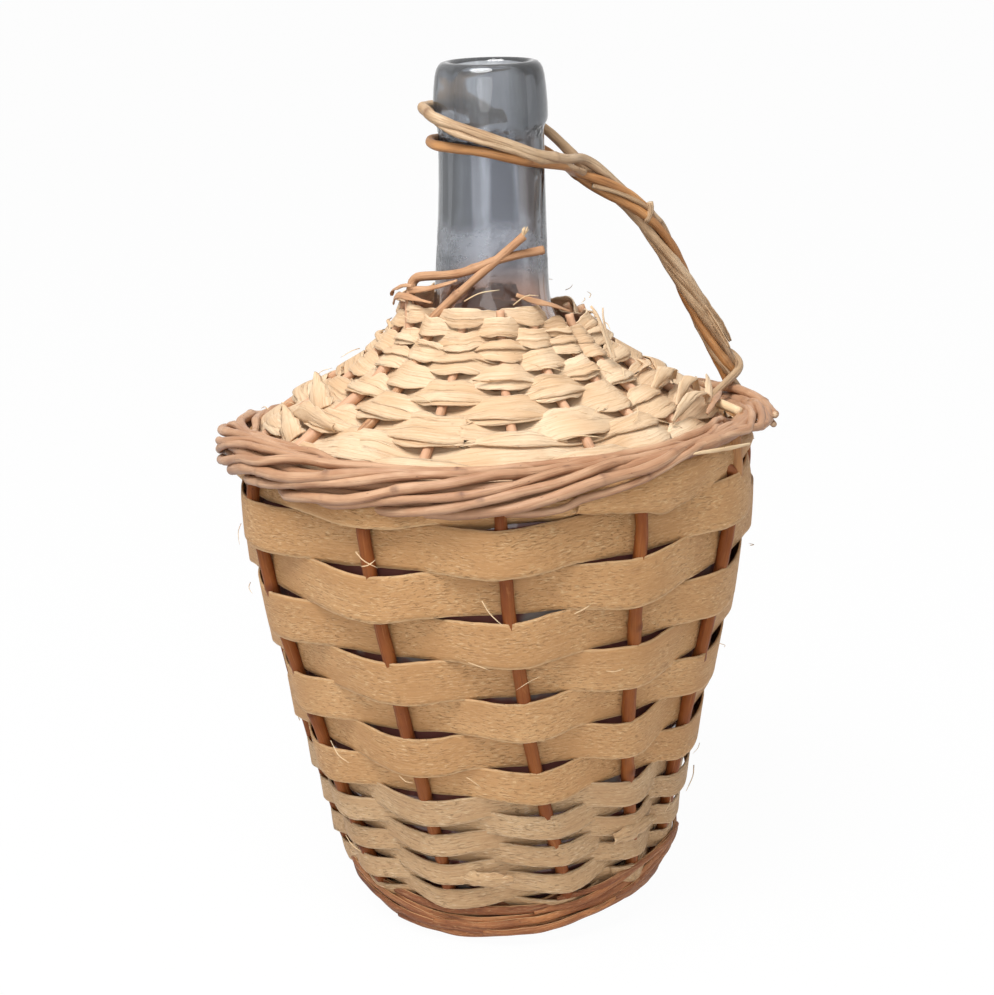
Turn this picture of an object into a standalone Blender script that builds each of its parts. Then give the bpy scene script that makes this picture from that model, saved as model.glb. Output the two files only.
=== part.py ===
# Wicker demijohn: a 5 litre glass bottle in a woven willow basket with a rope handle.
# Metres, +Z up, origin on the floor under the middle of the foot, handle on the +X side.
import math

import bpy
import numpy as np
from mathutils import Vector

# Overall sizes
bottle_height = 0.380
basket_radius = 0.1127
basket_height = 0.280
clearance = 0.0003
turn = 2 * math.pi

# Foot, with its radii as shares of the basket radius
foot_height = 0.0058
foot_inner_share = 0.510
foot_flat_share = 0.572
foot_outer_share = 0.634
heel_band_height = 0.0100
heel_band_share = 0.662
heel_band_round = 0.0012
ring_steps = 36

# Stakes run from the base centre out, up the side and over the shoulder
stake_radius = 0.0024
stake_tip_radius = 0.0014
stake_start_share = 0.089
stake_start_thickness_share = 0.7
stake_side_points = 12
stake_cone_points = 8
heel_bend_shares = ((0.444, 0.0), (0.500, 0.0032), (0.560, 0.0138))

# Degrees from the handle, read down the row of stakes, at the shoulder and at the heel
stake_top_degrees = (149, 116, 84, 51, 19, -15, -50, -82.7, -112.5, -141.5, -179)
stake_heel_degrees = (165, 133, 101, 68, 35, 3, -29, -61, -91, -129, -167)
stake_count = len(stake_top_degrees)
rib_degrees = (166.6, 144, 122, 100, 78, 55, 33, 11, -11, -33, -55, -68, -88, -108, -131.5, -154, -171)
stake_ribs = (1, 2, 4, 5, 7, 9, 11, 12, 13, 14, 16)

# Woven strips
strip_thickness = 0.0012
course_gap = 0.0006
wide_courses = 8
narrow_courses = 9
wide_course_shares = (1.0, 0.82)
narrow_course_shares = (0.42, 0.36)
strips_per_band = 4
weave_top_share = 0.753
taper_turns = 0.85

# Base weave
base_courses = 4
base_weave_shares = (0.204, 0.484)

# Shoulder cone
cone_courses = 9
cone_strips = 4
cone_strip_thickness = 0.0010
cone_rib_radius = 0.0019
cone_course_shares = (0.56, 1.0)
cone_low_share = 0.901
cone_top_share = 0.997

# Middle of the woven wall, as shares of the basket radius and height, from the heel to the neck
wall_shares = (
    (0.657, 0.081), (0.723, 0.179), (0.796, 0.286), (0.863, 0.393), (0.930, 0.500), (0.979, 0.607),
    (1.000, 0.693), (0.999, 0.732), (0.986, 0.760), (0.945, 0.780), (0.865, 0.806), (0.748, 0.837),
    (0.651, 0.860), (0.569, 0.880), (0.510, 0.898), (0.463, 0.914), (0.419, 0.930), (0.385, 0.947),
    (0.358, 0.966), (0.337, 1.000),
)

# Glass
glass_wall = 0.0030
glass_base_thickness = 0.0050
punt_height = 0.0100
punt_share = 0.319
stand_share = 0.426
glass_heel_share = 0.470
neck_radius = 0.0222
neck_base_radius = 0.0254
neck_top_drop = 0.0400
collar_height = 0.0270
collar_radius = 0.0248
lip_radius = 0.0231
lip_round = 0.0020
bore_radius = 0.0165
neck_wall = 0.0040
shoulder_leave_share = 0.510
shoulder_bend_shares = (0.45, 0.50)
glass_steps = 28
glass_side_points = 18

# Rim border
rim_rod_radius = 0.0024
rim_rod_count = 6
rim_rod_gap = 0.0004
rim_twists = 2
rim_seat_share = 0.764
rim_points = 30
rim_end_gap = 0.0040

# Handle: how far in and how far up it is on its way from the rim to the neck
handle_rod_radius = 0.0021
handle_rod_gap = 0.0005
handle_in_shares = (0.0, 0.07, 0.185, 0.329, 0.478, 0.604, 0.745, 0.898, 1.0)
handle_up_shares = (0.0, 0.164, 0.300, 0.489, 0.664, 0.789, 0.883, 0.955, 1.0)
handle_foot_gap = 0.0009
handle_foot_degrees = 92
handle_neck_gap = 0.0148
handle_neck_drop = 0.0025
handle_twists = 1.5
handle_points = 16

# Loops round the neck: depth below the mouth on the handle side and on the far side
loop_points = 18
loop_open_degrees = 52
upper_loop_drops = (0.0355, 0.0190)
lower_loop_drops = (0.0430, 0.0340)

# Broken tips that reach past the top of the cone and lie across the neck
long_tip_rib = 15
short_tip_rib = 16
tip_radius_share = 0.8
tip_neck_offset = 0.0030
tip_cross_offset = 0.0080
tip_rise = 0.0300
tip_cross_rise = 0.0220
tip_long_sweep = 66
tip_cross_sweep = 100


def clear_scene():
    for obj in list(bpy.data.objects):
        bpy.data.objects.remove(obj, do_unlink=True)


def make_material(name, color, roughness, metallic=0.0, transmission=0.0):
    material = bpy.data.materials.new(name)
    material.use_nodes = True
    shader = material.node_tree.nodes["Principled BSDF"]
    shader.inputs["Base Color"].default_value = (*color, 1.0)
    shader.inputs["Roughness"].default_value = roughness
    shader.inputs["Metallic"].default_value = metallic
    shader.inputs["Transmission Weight"].default_value = transmission
    return material


# Smooth curve through points
def smooth_line(points, steps):
    points = [np.array(point, dtype=float) for point in points]
    padded = [2 * points[0] - points[1], *points, 2 * points[-1] - points[-2]]
    line = []
    for a, b, c, d in zip(padded, padded[1:], padded[2:], padded[3:]):
        for step in range(steps):
            t = step / steps
            bend = 2 * a - 5 * b + 4 * c - d
            twist = 3 * b - a - 3 * c + d
            line.append(0.5 * (2 * b + (c - a) * t + bend * t**2 + twist * t**3))
    line.append(points[-1])
    return np.array(line)


def path_lengths(line):
    return np.concatenate(([0.0], np.cumsum(np.linalg.norm(np.diff(line, axis=0), axis=1))))


# Middle line of the wicker wall: radius and height, from the base centre to the neck
base_plane = foot_height + clearance + stake_radius
wall_points = [(stake_start_share * basket_radius, base_plane)]
wall_points += [
    (share * basket_radius, base_plane + rise * basket_radius) for share, rise in heel_bend_shares
]
wall_points += [(share * basket_radius, rise * basket_height) for share, rise in wall_shares]
wall_line = smooth_line(wall_points, 8)
wall_length = path_lengths(wall_line)
wall_tangent = np.gradient(wall_line, wall_length, axis=0)
wall_tangent /= np.linalg.norm(wall_tangent, axis=1)[:, None]


# Radius and height of a point on the wall, pushed outward by an offset
def wall_point(length, offset=0.0):
    radius = np.interp(length, wall_length, wall_line[:, 0])
    height = np.interp(length, wall_length, wall_line[:, 1])
    along_r = np.interp(length, wall_length, wall_tangent[:, 0])
    along_z = np.interp(length, wall_length, wall_tangent[:, 1])
    size = math.hypot(along_r, along_z)
    return radius + offset * along_z / size, height - offset * along_r / size


def length_at_height(height):
    side = wall_line[:, 1] > base_plane + stake_radius
    return float(np.interp(height, wall_line[side, 1], wall_length[side]))


def length_at_base_share(share):
    base = wall_line[:, 1] <= base_plane + stake_radius
    return float(np.interp(share * basket_radius, wall_line[base, 0], wall_length[base]))


def length_at_cone_share(share):
    cone = wall_line[:, 1] > rim_seat_share * basket_height
    return float(np.interp(-share * basket_radius, -wall_line[cone, 0], wall_length[cone]))


band_top_height = foot_height + clearance + heel_band_height
base_in = length_at_base_share(base_weave_shares[0])
base_out = length_at_base_share(base_weave_shares[1])
weave_low = length_at_height(band_top_height + stake_radius)
weave_top = length_at_height(weave_top_share * basket_height)
cone_low = length_at_cone_share(cone_low_share)
cone_top = length_at_height(cone_top_share * basket_height)
wave_height = stake_radius + strip_thickness / 2 + 2 * clearance
cone_wave_height = cone_rib_radius + cone_strip_thickness / 2 + 2 * clearance


def spin(radius, height, angle):
    return Vector((radius * math.cos(angle), radius * math.sin(angle), height))


# Angle of stake number place, which may lie between two stakes, at a length along the wall
def stake_angle(place, length):
    share = min(max((weave_top - length) / (weave_top - weave_low), 0.0), 1.0)

    def one_stake(number):
        top = stake_top_degrees[number % stake_count]
        heel = stake_heel_degrees[number % stake_count]
        return math.radians(top + (heel - top) * share) - turn * (number // stake_count)

    low = math.floor(place)
    return one_stake(low) + (one_stake(low + 1) - one_stake(low)) * (place - low)


def rib_angle(place, length):
    count = len(rib_degrees)
    low = math.floor(place)
    first = math.radians(rib_degrees[low % count]) - turn * (low // count)
    second = math.radians(rib_degrees[(low + 1) % count]) - turn * ((low + 1) // count)
    return first + (second - first) * (place - low)


# Lengths along the wall of the edges between courses, from the top course down
def course_edges(start, end, widths):
    edges = np.concatenate(([0.0], np.cumsum(widths)))
    return start + (end - start) * edges / edges[-1]


def add_mesh(name, verts, faces, material):
    mesh = bpy.data.meshes.new(name)
    mesh.from_pydata([tuple(vert) for vert in verts], [], faces)
    mesh.materials.append(material)
    obj = bpy.data.objects.new(name, mesh)
    parts.objects.link(obj)
    return obj


# Flat strip woven in and out of the uprights, one course lower each turn
def woven_strip(name, edges, turns, uprights, angle_of, wave, thickness, material, rows=2):
    courses = len(edges) - 1
    end_pull = course_gap / basket_radius * uprights / turn
    first = turns[0] * uprights + end_pull
    last = turns[1] * uprights - end_pull
    between = np.arange(math.ceil(first * 2), math.floor(last * 2) + 1) / 2
    places = [first, *[p for p in between if first + end_pull < p < last - end_pull], last]
    verts = []
    for place in places:
        level = place / uprights
        top = float(np.interp(level, range(courses + 1), edges))
        bottom = float(np.interp(level + 1, range(courses + 1), edges))
        sign = 1 if edges[0] > edges[-1] else -1
        bottom += sign * course_gap
        offset = wave * (1 - 2 * abs((place + 1) % 2 - 1))
        across = list(np.linspace(top, bottom, rows))
        outline = [(length, -1) for length in across] + [(length, 1) for length in reversed(across)]
        for length, side in outline:
            radius, height = wall_point(length, offset + side * thickness / 2)
            verts.append(spin(radius, height, angle_of(place, length)))
    faces = []
    size = 2 * rows
    for ring in range(len(places) - 1):
        for corner in range(size):
            a = ring * size + corner
            b = ring * size + (corner + 1) % size
            faces.append((a, b, b + size, a + size))
    end = len(verts) - size
    for row in range(rows - 1):
        corners = (row, row + 1, size - 2 - row, size - 1 - row)
        faces.append(tuple(reversed(corners)))
        faces.append(tuple(end + corner for corner in corners))
    if edges[0] < edges[-1]:
        faces = [tuple(reversed(face)) for face in faces]
    return add_mesh(name, verts, faces, material)


# Round rod along points, with a thickness share at each point
def rod(name, points, radius, material, shares=None, resolution=1):
    curve = bpy.data.curves.new(name, "CURVE")
    curve.dimensions = "3D"
    curve.bevel_depth = radius
    curve.bevel_resolution = resolution
    curve.use_fill_caps = True
    spline = curve.splines.new("POLY")
    spline.points.add(len(points) - 1)
    for index, point in enumerate(points):
        spline.points[index].co = (*point, 1.0)
        spline.points[index].radius = 1.0 if shares is None else shares[index]
    curve.materials.append(material)
    obj = bpy.data.objects.new(name, curve)
    parts.objects.link(obj)
    return obj


# Turned piece: a profile of radius and height that runs down its outer side
def turned(name, profile, steps, material, closed=False):
    mesh = bpy.data.meshes.new(name)
    verts = [(radius, 0.0, height) for radius, height in profile]
    edges = [(i, i + 1) for i in range(len(verts) - 1)]
    if closed:
        edges.append((len(verts) - 1, 0))
    mesh.from_pydata(verts, edges, [])
    mesh.materials.append(material)
    obj = bpy.data.objects.new(name, mesh)
    parts.objects.link(obj)
    screw = obj.modifiers.new("Turn", "SCREW")
    screw.axis = "Z"
    screw.angle = turn
    screw.steps = steps
    screw.render_steps = steps
    screw.use_merge_vertices = True
    screw.merge_threshold = clearance / 10
    screw.use_smooth_shade = True
    return obj


# Side of the glass inside the wicker wall, from the shoulder down, pushed inward by a depth
glass_seat = wave_height + strip_thickness / 2 + 2 * clearance
glass_cone_seat = cone_wave_height + cone_strip_thickness / 2 + 2 * clearance
glass_bottom = base_plane + glass_seat


def glass_side(depth):
    leave = length_at_cone_share(shoulder_leave_share)
    heel = length_at_base_share(glass_heel_share)
    side = []
    for share in np.linspace(1.0, 0.0, glass_side_points):
        length = heel + (leave - heel) * share
        blend = min(max((length - weave_top) / (cone_low - weave_top), 0.0), 1.0)
        seat = glass_seat + (glass_cone_seat - glass_seat) * blend
        side.append(wall_point(length, -seat - depth))
    return side


def glass_shoulder(start, end, next_point):
    drop = (start[1] - end[1]) * shoulder_bend_shares[0]
    reach = math.dist(start, end) * shoulder_bend_shares[1]
    size = math.dist(end, next_point)
    first = (start[0], start[1] - drop)
    second = (
        end[0] + (end[0] - next_point[0]) / size * reach,
        end[1] + (end[1] - next_point[1]) / size * reach,
    )
    bend = []
    for t in np.linspace(0.2, 0.8, 4):
        weights = ((1 - t) ** 3, 3 * t * (1 - t) ** 2, 3 * t**2 * (1 - t), t**3)
        corners = (start, first, second, end)
        bend.append(tuple(sum(w * c[i] for w, c in zip(weights, corners)) for i in (0, 1)))
    return bend


neck_top_height = bottle_height - neck_top_drop
neck_base_height = cone_top_share * basket_height
collar_low = bottle_height - collar_height
outer_side = glass_side(0.0)
outer_neck_base = (neck_base_radius, neck_base_height)
outer_neck = [
    (neck_radius, collar_low - lip_round / 2),
    (neck_radius, neck_top_height),
    outer_neck_base,
    *glass_shoulder(outer_neck_base, outer_side[0], outer_side[1]),
    *outer_side,
]


# Widest glass from under the collar down to a height
def neck_seat_radius(height):
    above = [radius for radius, level in outer_neck if level >= height]
    levels = sorted((level, radius) for radius, level in outer_neck)
    here = np.interp(height, [level for level, radius in levels], [radius for level, radius in levels])
    return max(neck_radius, here, *above)


# Glass bottle, open at the mouth
def make_bottle():
    stand_radius = stand_share * basket_radius
    punt_radius = punt_share * basket_radius
    inner_side = glass_side(glass_wall)
    inner_neck_base = (neck_base_radius - neck_wall, neck_base_height)
    inner_floor = glass_bottom + glass_base_thickness
    outer = [
        (bore_radius + lip_round, bottle_height),
        (lip_radius - lip_round / 2, bottle_height),
        (lip_radius, bottle_height - lip_round),
        (collar_radius, bottle_height - collar_height * 0.7),
        (collar_radius, collar_low + lip_round / 2),
        *outer_neck,
        (stand_radius, glass_bottom),
        (punt_radius, glass_bottom),
        (punt_radius / 2, glass_bottom + punt_height * 0.8),
        (0.0, glass_bottom + punt_height),
    ]
    inner = [
        (bore_radius, bottle_height - lip_round),
        (bore_radius, collar_low),
        (neck_radius - neck_wall, neck_top_height),
        inner_neck_base,
        *glass_shoulder(inner_neck_base, inner_side[0], inner_side[1]),
        *inner_side,
        (stand_radius, inner_floor),
        (punt_radius, inner_floor),
        (punt_radius / 2, inner_floor + punt_height * 0.8),
        (0.0, inner_floor + punt_height),
    ]
    turned("glass_bottle", [*reversed(inner), *outer], glass_steps, glass)


# Foot ring and the bark band above it
def make_foot():
    foot_inner_radius = foot_inner_share * basket_radius
    foot_flat_radius = foot_flat_share * basket_radius
    foot_outer_radius = foot_outer_share * basket_radius
    heel_band_radius = heel_band_share * basket_radius
    lower = [
        (foot_inner_radius, foot_height),
        (foot_outer_radius - clearance, foot_height),
        (foot_outer_radius, foot_height * 0.75),
        (foot_outer_radius - foot_height * 0.3, foot_height * 0.3),
        (foot_flat_radius, 0.0),
        (foot_inner_radius, 0.0),
    ]
    turned("foot_ring", lower, ring_steps, bark, closed=True)
    low = foot_height + clearance
    top = band_top_height
    seat_lengths = [length_at_height(height) for height in np.linspace(base_plane + stake_radius, top, 4)]
    seats = [wall_point(length, stake_radius + 2 * clearance) for length in seat_lengths]
    top_seat = wall_point(length_at_height(top + stake_radius / 2), stake_radius + 2 * clearance)
    band = [
        (top_seat[0], top),
        (heel_band_radius - heel_band_round, top),
        (heel_band_radius, top - heel_band_round),
        (heel_band_radius, low + heel_band_height / 3),
        (foot_outer_radius, low),
        (seats[0][0], low),
        *seats,
    ]
    turned("heel_band", band, ring_steps, bark, closed=True)


# Rods that go on from the side, over the shoulder and up the cone
def make_stakes():
    for number in range(stake_count):
        rib = stake_ribs[number]
        lengths = [0.0, base_out]
        lengths += list(np.linspace(lengths[1], weave_low, 6)[1:])
        even = np.linspace(0.0, 1.0, stake_side_points)[1:]
        side_shares = (even + (1 - np.cos(math.pi * even)) / 2) / 2
        lengths += list(weave_low + (weave_top - weave_low) * side_shares)
        lengths += list(np.linspace(weave_top, cone_low, 5)[1:])
        lengths += list(np.linspace(cone_low, wall_length[-1], stake_cone_points)[1:])
        points = []
        shares = []
        for length in lengths:
            blend = min(max((length - weave_top) / (cone_low - weave_top), 0.0), 1.0)
            side_angle = stake_angle(number, length)
            angle = side_angle + (rib_angle(rib, length) - side_angle) * blend
            points.append(spin(*wall_point(length), angle))
            shares.append(stake_share(length))
        if rib in (long_tip_rib, short_tip_rib):
            tip_points, tip_shares = broken_tip(rib)
            points += tip_points
            shares += tip_shares
        rod(f"stake_{number + 1:02d}", points, stake_radius, stake_bark, shares)


# Thickness of an upright along the wall, as a share of the stake radius
def stake_share(length):
    cone_share = cone_rib_radius / stake_radius
    tip_share = stake_tip_radius / stake_radius
    return float(np.interp(
        length,
        (0.0, base_out, weave_top, cone_low, wall_length[-1]),
        (stake_start_thickness_share, 1.0, 1.0, cone_share, tip_share),
    ))


# Broken end of a rod, laid round the neck above the cone
def broken_tip(rib):
    start = rib_angle(rib, cone_top)
    crossing = rib == short_tip_rib
    offset = tip_cross_offset if crossing else tip_neck_offset
    sweep = math.radians(tip_cross_sweep if crossing else tip_long_sweep)
    rise = tip_cross_rise if crossing else tip_rise
    top = wall_line[-1][1]
    points = []
    for share in (0.12, 0.4, 0.7, 1.0):
        radius = neck_base_radius + offset
        points.append(spin(radius, top + rise * (0.2 + 0.8 * share), start + sweep * share))
    size = stake_tip_radius / stake_radius * tip_radius_share
    return points, [size] * len(points)


# Short rods pushed in between the stakes, on the cone only
def make_extra_ribs():
    extra = [rib for rib in range(len(rib_degrees)) if rib not in stake_ribs]
    for number, rib in enumerate(extra):
        lengths = np.linspace(cone_low - 2 * stake_radius, wall_length[-1], stake_cone_points + 1)
        points = [spin(*wall_point(length), rib_angle(rib, length)) for length in lengths]
        shares = [stake_share(length) for length in lengths]
        shares = [min(share, cone_rib_radius / stake_radius) for share in shares]
        if rib in (long_tip_rib, short_tip_rib):
            tip_points, tip_shares = broken_tip(rib)
            points += tip_points
            shares += tip_shares
        rod(f"cone_rib_{number + 1}", points, stake_radius, peeled_willow, shares)


# Wide splints on the upper side and narrow ones near the heel
def make_side_weave():
    wide_widths = np.linspace(*wide_course_shares, wide_courses)
    narrow_widths = np.linspace(*narrow_course_shares, narrow_courses)
    edges = course_edges(weave_top, weave_low, [*wide_widths, *narrow_widths])
    last_turn = wide_courses + narrow_courses - 1 + taper_turns
    wide_ends = np.linspace(-taper_turns, wide_courses, strips_per_band + 1)
    narrow_ends = np.linspace(wide_courses, last_turn, strips_per_band + 1)
    for number in range(strips_per_band):
        woven_strip(
            f"wide_splint_{number + 1}", edges, wide_ends[number:number + 2], stake_count, stake_angle,
            wave_height, strip_thickness, splint, rows=3,
        )
        woven_strip(
            f"narrow_splint_{number + 1}", edges, narrow_ends[number:number + 2], stake_count, stake_angle,
            wave_height, strip_thickness, splint,
        )


def make_cone_weave():
    widths = np.linspace(*cone_course_shares, cone_courses)
    edges = course_edges(cone_top, cone_low, widths)
    ends = np.linspace(-taper_turns, cone_courses - 1 + taper_turns, cone_strips + 1)
    for number in range(cone_strips):
        woven_strip(
            f"cone_strip_{number + 1}", edges, ends[number:number + 2], len(rib_degrees), rib_angle,
            cone_wave_height, cone_strip_thickness, straw,
        )


def make_base_weave():
    edges = course_edges(base_out, base_in, [1.0] * base_courses)
    woven_strip(
        "base_strip", edges, (-taper_turns, base_courses - 1 + taper_turns), stake_count, stake_angle,
        wave_height, strip_thickness, splint,
    )


# Twisted border of rods round one core rod, seated on the shoulder bend
rim_swing = 2 * rim_rod_radius + rim_rod_gap
rim_reach = rim_swing + rim_rod_radius
rim_centre = wall_point(
    length_at_height(rim_seat_share * basket_height), rim_reach + stake_radius + clearance,
)


def make_rim():
    radius, height = rim_centre
    span = turn - rim_end_gap / radius
    for number in range(rim_rod_count):
        start = turn * number / rim_rod_count
        points = []
        for share in np.linspace(0.0, 1.0, rim_points + 1):
            angle = start + span * share
            phase = turn * number / rim_rod_count + rim_twists * angle
            across = radius + rim_swing * math.cos(phase)
            points.append(spin(across, height + rim_swing * math.sin(phase), angle))
        rod(f"rim_rod_{number + 1}", points, rim_rod_radius, peeled_willow)
    points = [spin(radius, height, span * share) for share in np.linspace(0.0, 1.0, rim_points + 1)]
    rod("rim_core_rod", points, rim_rod_radius, peeled_willow)


# Handle of four twisted legs: two rods, each doubled back round the neck
def make_handle():
    upper_low = bottle_height - upper_loop_drops[0] - handle_rod_radius
    lower_low = bottle_height - lower_loop_drops[0] - handle_rod_radius
    upper_seat = max(collar_radius, neck_seat_radius(upper_low) + clearance)
    upper_radius = upper_seat + clearance + handle_rod_radius
    lower_radius = neck_seat_radius(lower_low) + 2 * clearance + handle_rod_radius
    foot_angle = math.radians(handle_foot_degrees)
    foot_reach = rim_reach + handle_foot_gap
    foot_x = rim_centre[0] + foot_reach * math.cos(foot_angle)
    foot_z = rim_centre[1] + foot_reach * math.sin(foot_angle)
    swing = (2 * handle_rod_radius + handle_rod_gap) / math.sqrt(2)
    cone_clear = wall_line[-1][1] + stake_tip_radius + swing + handle_rod_radius + clearance
    neck_x = upper_radius + handle_neck_gap
    neck_z = max(bottle_height - lower_loop_drops[0] - handle_neck_drop, cone_clear)
    path = [
        (foot_x + (neck_x - foot_x) * inward, foot_z + (neck_z - foot_z) * up)
        for inward, up in zip(handle_in_shares, handle_up_shares)
    ]
    plane = smooth_line(path, 6)
    lengths = path_lengths(plane)
    tangent = np.gradient(plane, lengths, axis=0)

    def leg(quarter):
        points = []
        for share in np.linspace(0.0, 1.0, handle_points):
            length = share * lengths[-1]
            x = np.interp(length, lengths, plane[:, 0])
            z = np.interp(length, lengths, plane[:, 1])
            along = np.array((
                np.interp(length, lengths, tangent[:, 0]), np.interp(length, lengths, tangent[:, 1]),
            ))
            along /= np.linalg.norm(along)
            angle = turn * (quarter / 4 - 0.125 + handle_twists * (share - 1.0))
            up = swing * math.sin(angle)
            side = swing * math.cos(angle)
            points.append(Vector((x + along[1] * up, side, z - along[0] * up)))
        return points

    def neck_loop(loop_radius, drops):
        points = []
        for share in np.linspace(0.0, 1.0, loop_points):
            angle = math.radians(loop_open_degrees) + (turn - math.radians(2 * loop_open_degrees)) * share
            lift = (1 - math.cos(angle)) / 2
            drop = drops[0] + (drops[1] - drops[0]) * lift
            points.append(spin(loop_radius, bottle_height - drop, angle))
        return points

    upper = [*leg(1), *neck_loop(upper_radius, upper_loop_drops), *reversed(leg(2))]
    lower = [*leg(0), *neck_loop(lower_radius, lower_loop_drops), *reversed(leg(3))]
    rod("handle_rod_upper", upper, handle_rod_radius, handle_bark)
    rod("handle_rod_lower", lower, handle_rod_radius, handle_bark)


clear_scene()
parts = bpy.data.collections.new("wicker_demijohn")
bpy.context.scene.collection.children.link(parts)
glass = make_material("Clear glass", (0.82, 0.88, 0.90), 0.03, 0.0, 1.0)
splint = make_material("Willow splint", (0.46, 0.31, 0.17), 0.65)
straw = make_material("Pale split willow", (0.66, 0.54, 0.37), 0.75)
stake_bark = make_material("Red willow bark", (0.26, 0.12, 0.07), 0.6)
peeled_willow = make_material("Peeled willow", (0.50, 0.32, 0.20), 0.6)
bark = make_material("Foot bark", (0.28, 0.13, 0.08), 0.7)
handle_bark = make_material("Handle willow", (0.36, 0.20, 0.09), 0.6)

make_bottle()
make_foot()
make_stakes()
make_extra_ribs()
make_side_weave()
make_cone_weave()
make_base_weave()
make_rim()
make_handle()
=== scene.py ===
import math

import bpy
import numpy as np
from mathutils import Matrix, Vector


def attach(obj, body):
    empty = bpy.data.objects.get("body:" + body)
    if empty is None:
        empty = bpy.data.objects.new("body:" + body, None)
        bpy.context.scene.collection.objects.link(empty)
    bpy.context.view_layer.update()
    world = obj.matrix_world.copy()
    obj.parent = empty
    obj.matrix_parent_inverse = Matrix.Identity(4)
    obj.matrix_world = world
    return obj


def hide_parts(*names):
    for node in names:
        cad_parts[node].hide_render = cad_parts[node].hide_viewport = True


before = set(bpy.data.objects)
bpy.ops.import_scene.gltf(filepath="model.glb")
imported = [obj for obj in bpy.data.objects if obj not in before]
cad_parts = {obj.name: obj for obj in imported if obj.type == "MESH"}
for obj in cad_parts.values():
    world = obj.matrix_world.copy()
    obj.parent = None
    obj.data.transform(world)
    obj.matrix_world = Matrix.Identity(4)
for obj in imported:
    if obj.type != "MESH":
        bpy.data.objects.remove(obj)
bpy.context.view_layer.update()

fullTurn = 2 * math.pi
# the longer tables are in millimetres
mm = 0.001
print("frame loaded:", len(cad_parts), "solids")


def pickOnly(piece):
    if bpy.context.object and bpy.context.object.mode != "OBJECT":
        bpy.ops.object.mode_set(mode="OBJECT")
    bpy.ops.object.select_all(action="DESELECT")
    piece.select_set(True)
    bpy.context.view_layer.objects.active = piece


# ends an edit with every face turned outward
def leaveFacingOut():
    bpy.ops.mesh.select_all(action="SELECT")
    bpy.ops.mesh.normals_make_consistent(inside=False)
    bpy.ops.object.mode_set(mode="OBJECT")


# a flat grid one metre wide: X runs along the strip or rod, Y across or around it
def addGrid(name, cellsAlong, cellsAcross):
    bpy.ops.object.select_all(action="DESELECT")
    bpy.ops.mesh.primitive_grid_add(
        x_subdivisions=cellsAlong, y_subdivisions=cellsAcross, size=1, calc_uvs=True)
    sheet = bpy.context.object
    sheet.name = sheet.data.name = name
    return sheet


# places of vertices or centres of faces, a row each
def readRows(items, key):
    flat = np.zeros(len(items) * 3)
    items.foreach_get(key, flat)
    return flat.reshape(-1, 3)


def unit(rows):
    return rows / np.linalg.norm(rows, axis=1)[:, None]


# bends the grid: shape() gets each vertex's share along and across, and gives its place, both UVs in metres and masks
def bendGrid(sheet, shape, masks):
    mesh = sheet.data
    shares = readRows(mesh.vertices, "co") + 0.5
    spots, u, v, *values = shape(shares[:, 0], shares[:, 1])
    mesh.vertices.foreach_set("co", spots.ravel())
    corners = np.zeros(len(mesh.loops), dtype=np.int32)
    mesh.loops.foreach_get("vertex_index", corners)
    mesh.uv_layers.active.data.foreach_set("uv", np.stack((u, v), axis=-1)[corners].ravel())
    for name, value in zip(masks, values):
        layer = mesh.attributes.new(name, "FLOAT", "POINT")
        layer.data.foreach_set("value", np.broadcast_to(value, len(mesh.vertices)).astype(np.float32))
    mesh.update()


def thicken(sheet, thickness):
    pickOnly(sheet)
    bpy.ops.object.modifier_add(type="SOLIDIFY")
    sheet.modifiers[-1].thickness = thickness
    sheet.modifiers[-1].offset = 0
    bpy.ops.object.modifier_apply(modifier=sheet.modifiers[-1].name)
    return sheet


def finishPiece(piece, material, nodes=()):
    piece.data.materials.clear()
    piece.data.materials.append(material)
    pickOnly(piece)
    bpy.ops.object.shade_smooth()
    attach(piece, "root")
    if nodes:
        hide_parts(*nodes)
    return piece


# slow seeded waves, about -1 to 1
def wander(x, seed, pitch):
    dice = np.random.RandomState(seed)
    total = 0
    for ratio in (1.0, 0.57, 0.31):
        total = total + ratio * np.sin(fullTurn * np.asarray(x) / (pitch * ratio) + dice.uniform(0, fullTurn))
    return total / 1.5


def ease(x, low, high):
    t = np.clip((np.asarray(x) - low) / (high - low), 0, 1)
    return t * t * (3 - 2 * t)


# smooth line through points
def smoothLine(points, steps):
    points = [np.array(point, dtype=float) for point in points]
    padded = [2 * points[0] - points[1], *points, 2 * points[-1] - points[-2]]
    line = []
    for a, b, c, d in zip(padded, padded[1:], padded[2:], padded[3:]):
        for step in range(steps):
            t = step / steps
            line.append(0.5 * (2 * b + (c - a) * t + (2 * a - 5 * b + 4 * c - d) * t**2
                               + (3 * b - a - 3 * c + d) * t**3))
    line.append(points[-1])
    return np.array(line)


def lineLengths(line):
    return np.concatenate(([0.0], np.cumsum(np.linalg.norm(np.diff(line, axis=0), axis=1))))


# place round the axis, in degrees from the handle
def polar(radius, height, degrees):
    angle = np.radians(degrees)
    return np.stack(np.broadcast_arrays(radius * np.cos(angle), radius * np.sin(angle), height), axis=-1)


# rows of degrees, radius and height in millimetres as places
def ringPoints(rows):
    return [polar(radius * mm, height * mm, degrees) for degrees, radius, height in rows]


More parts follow.
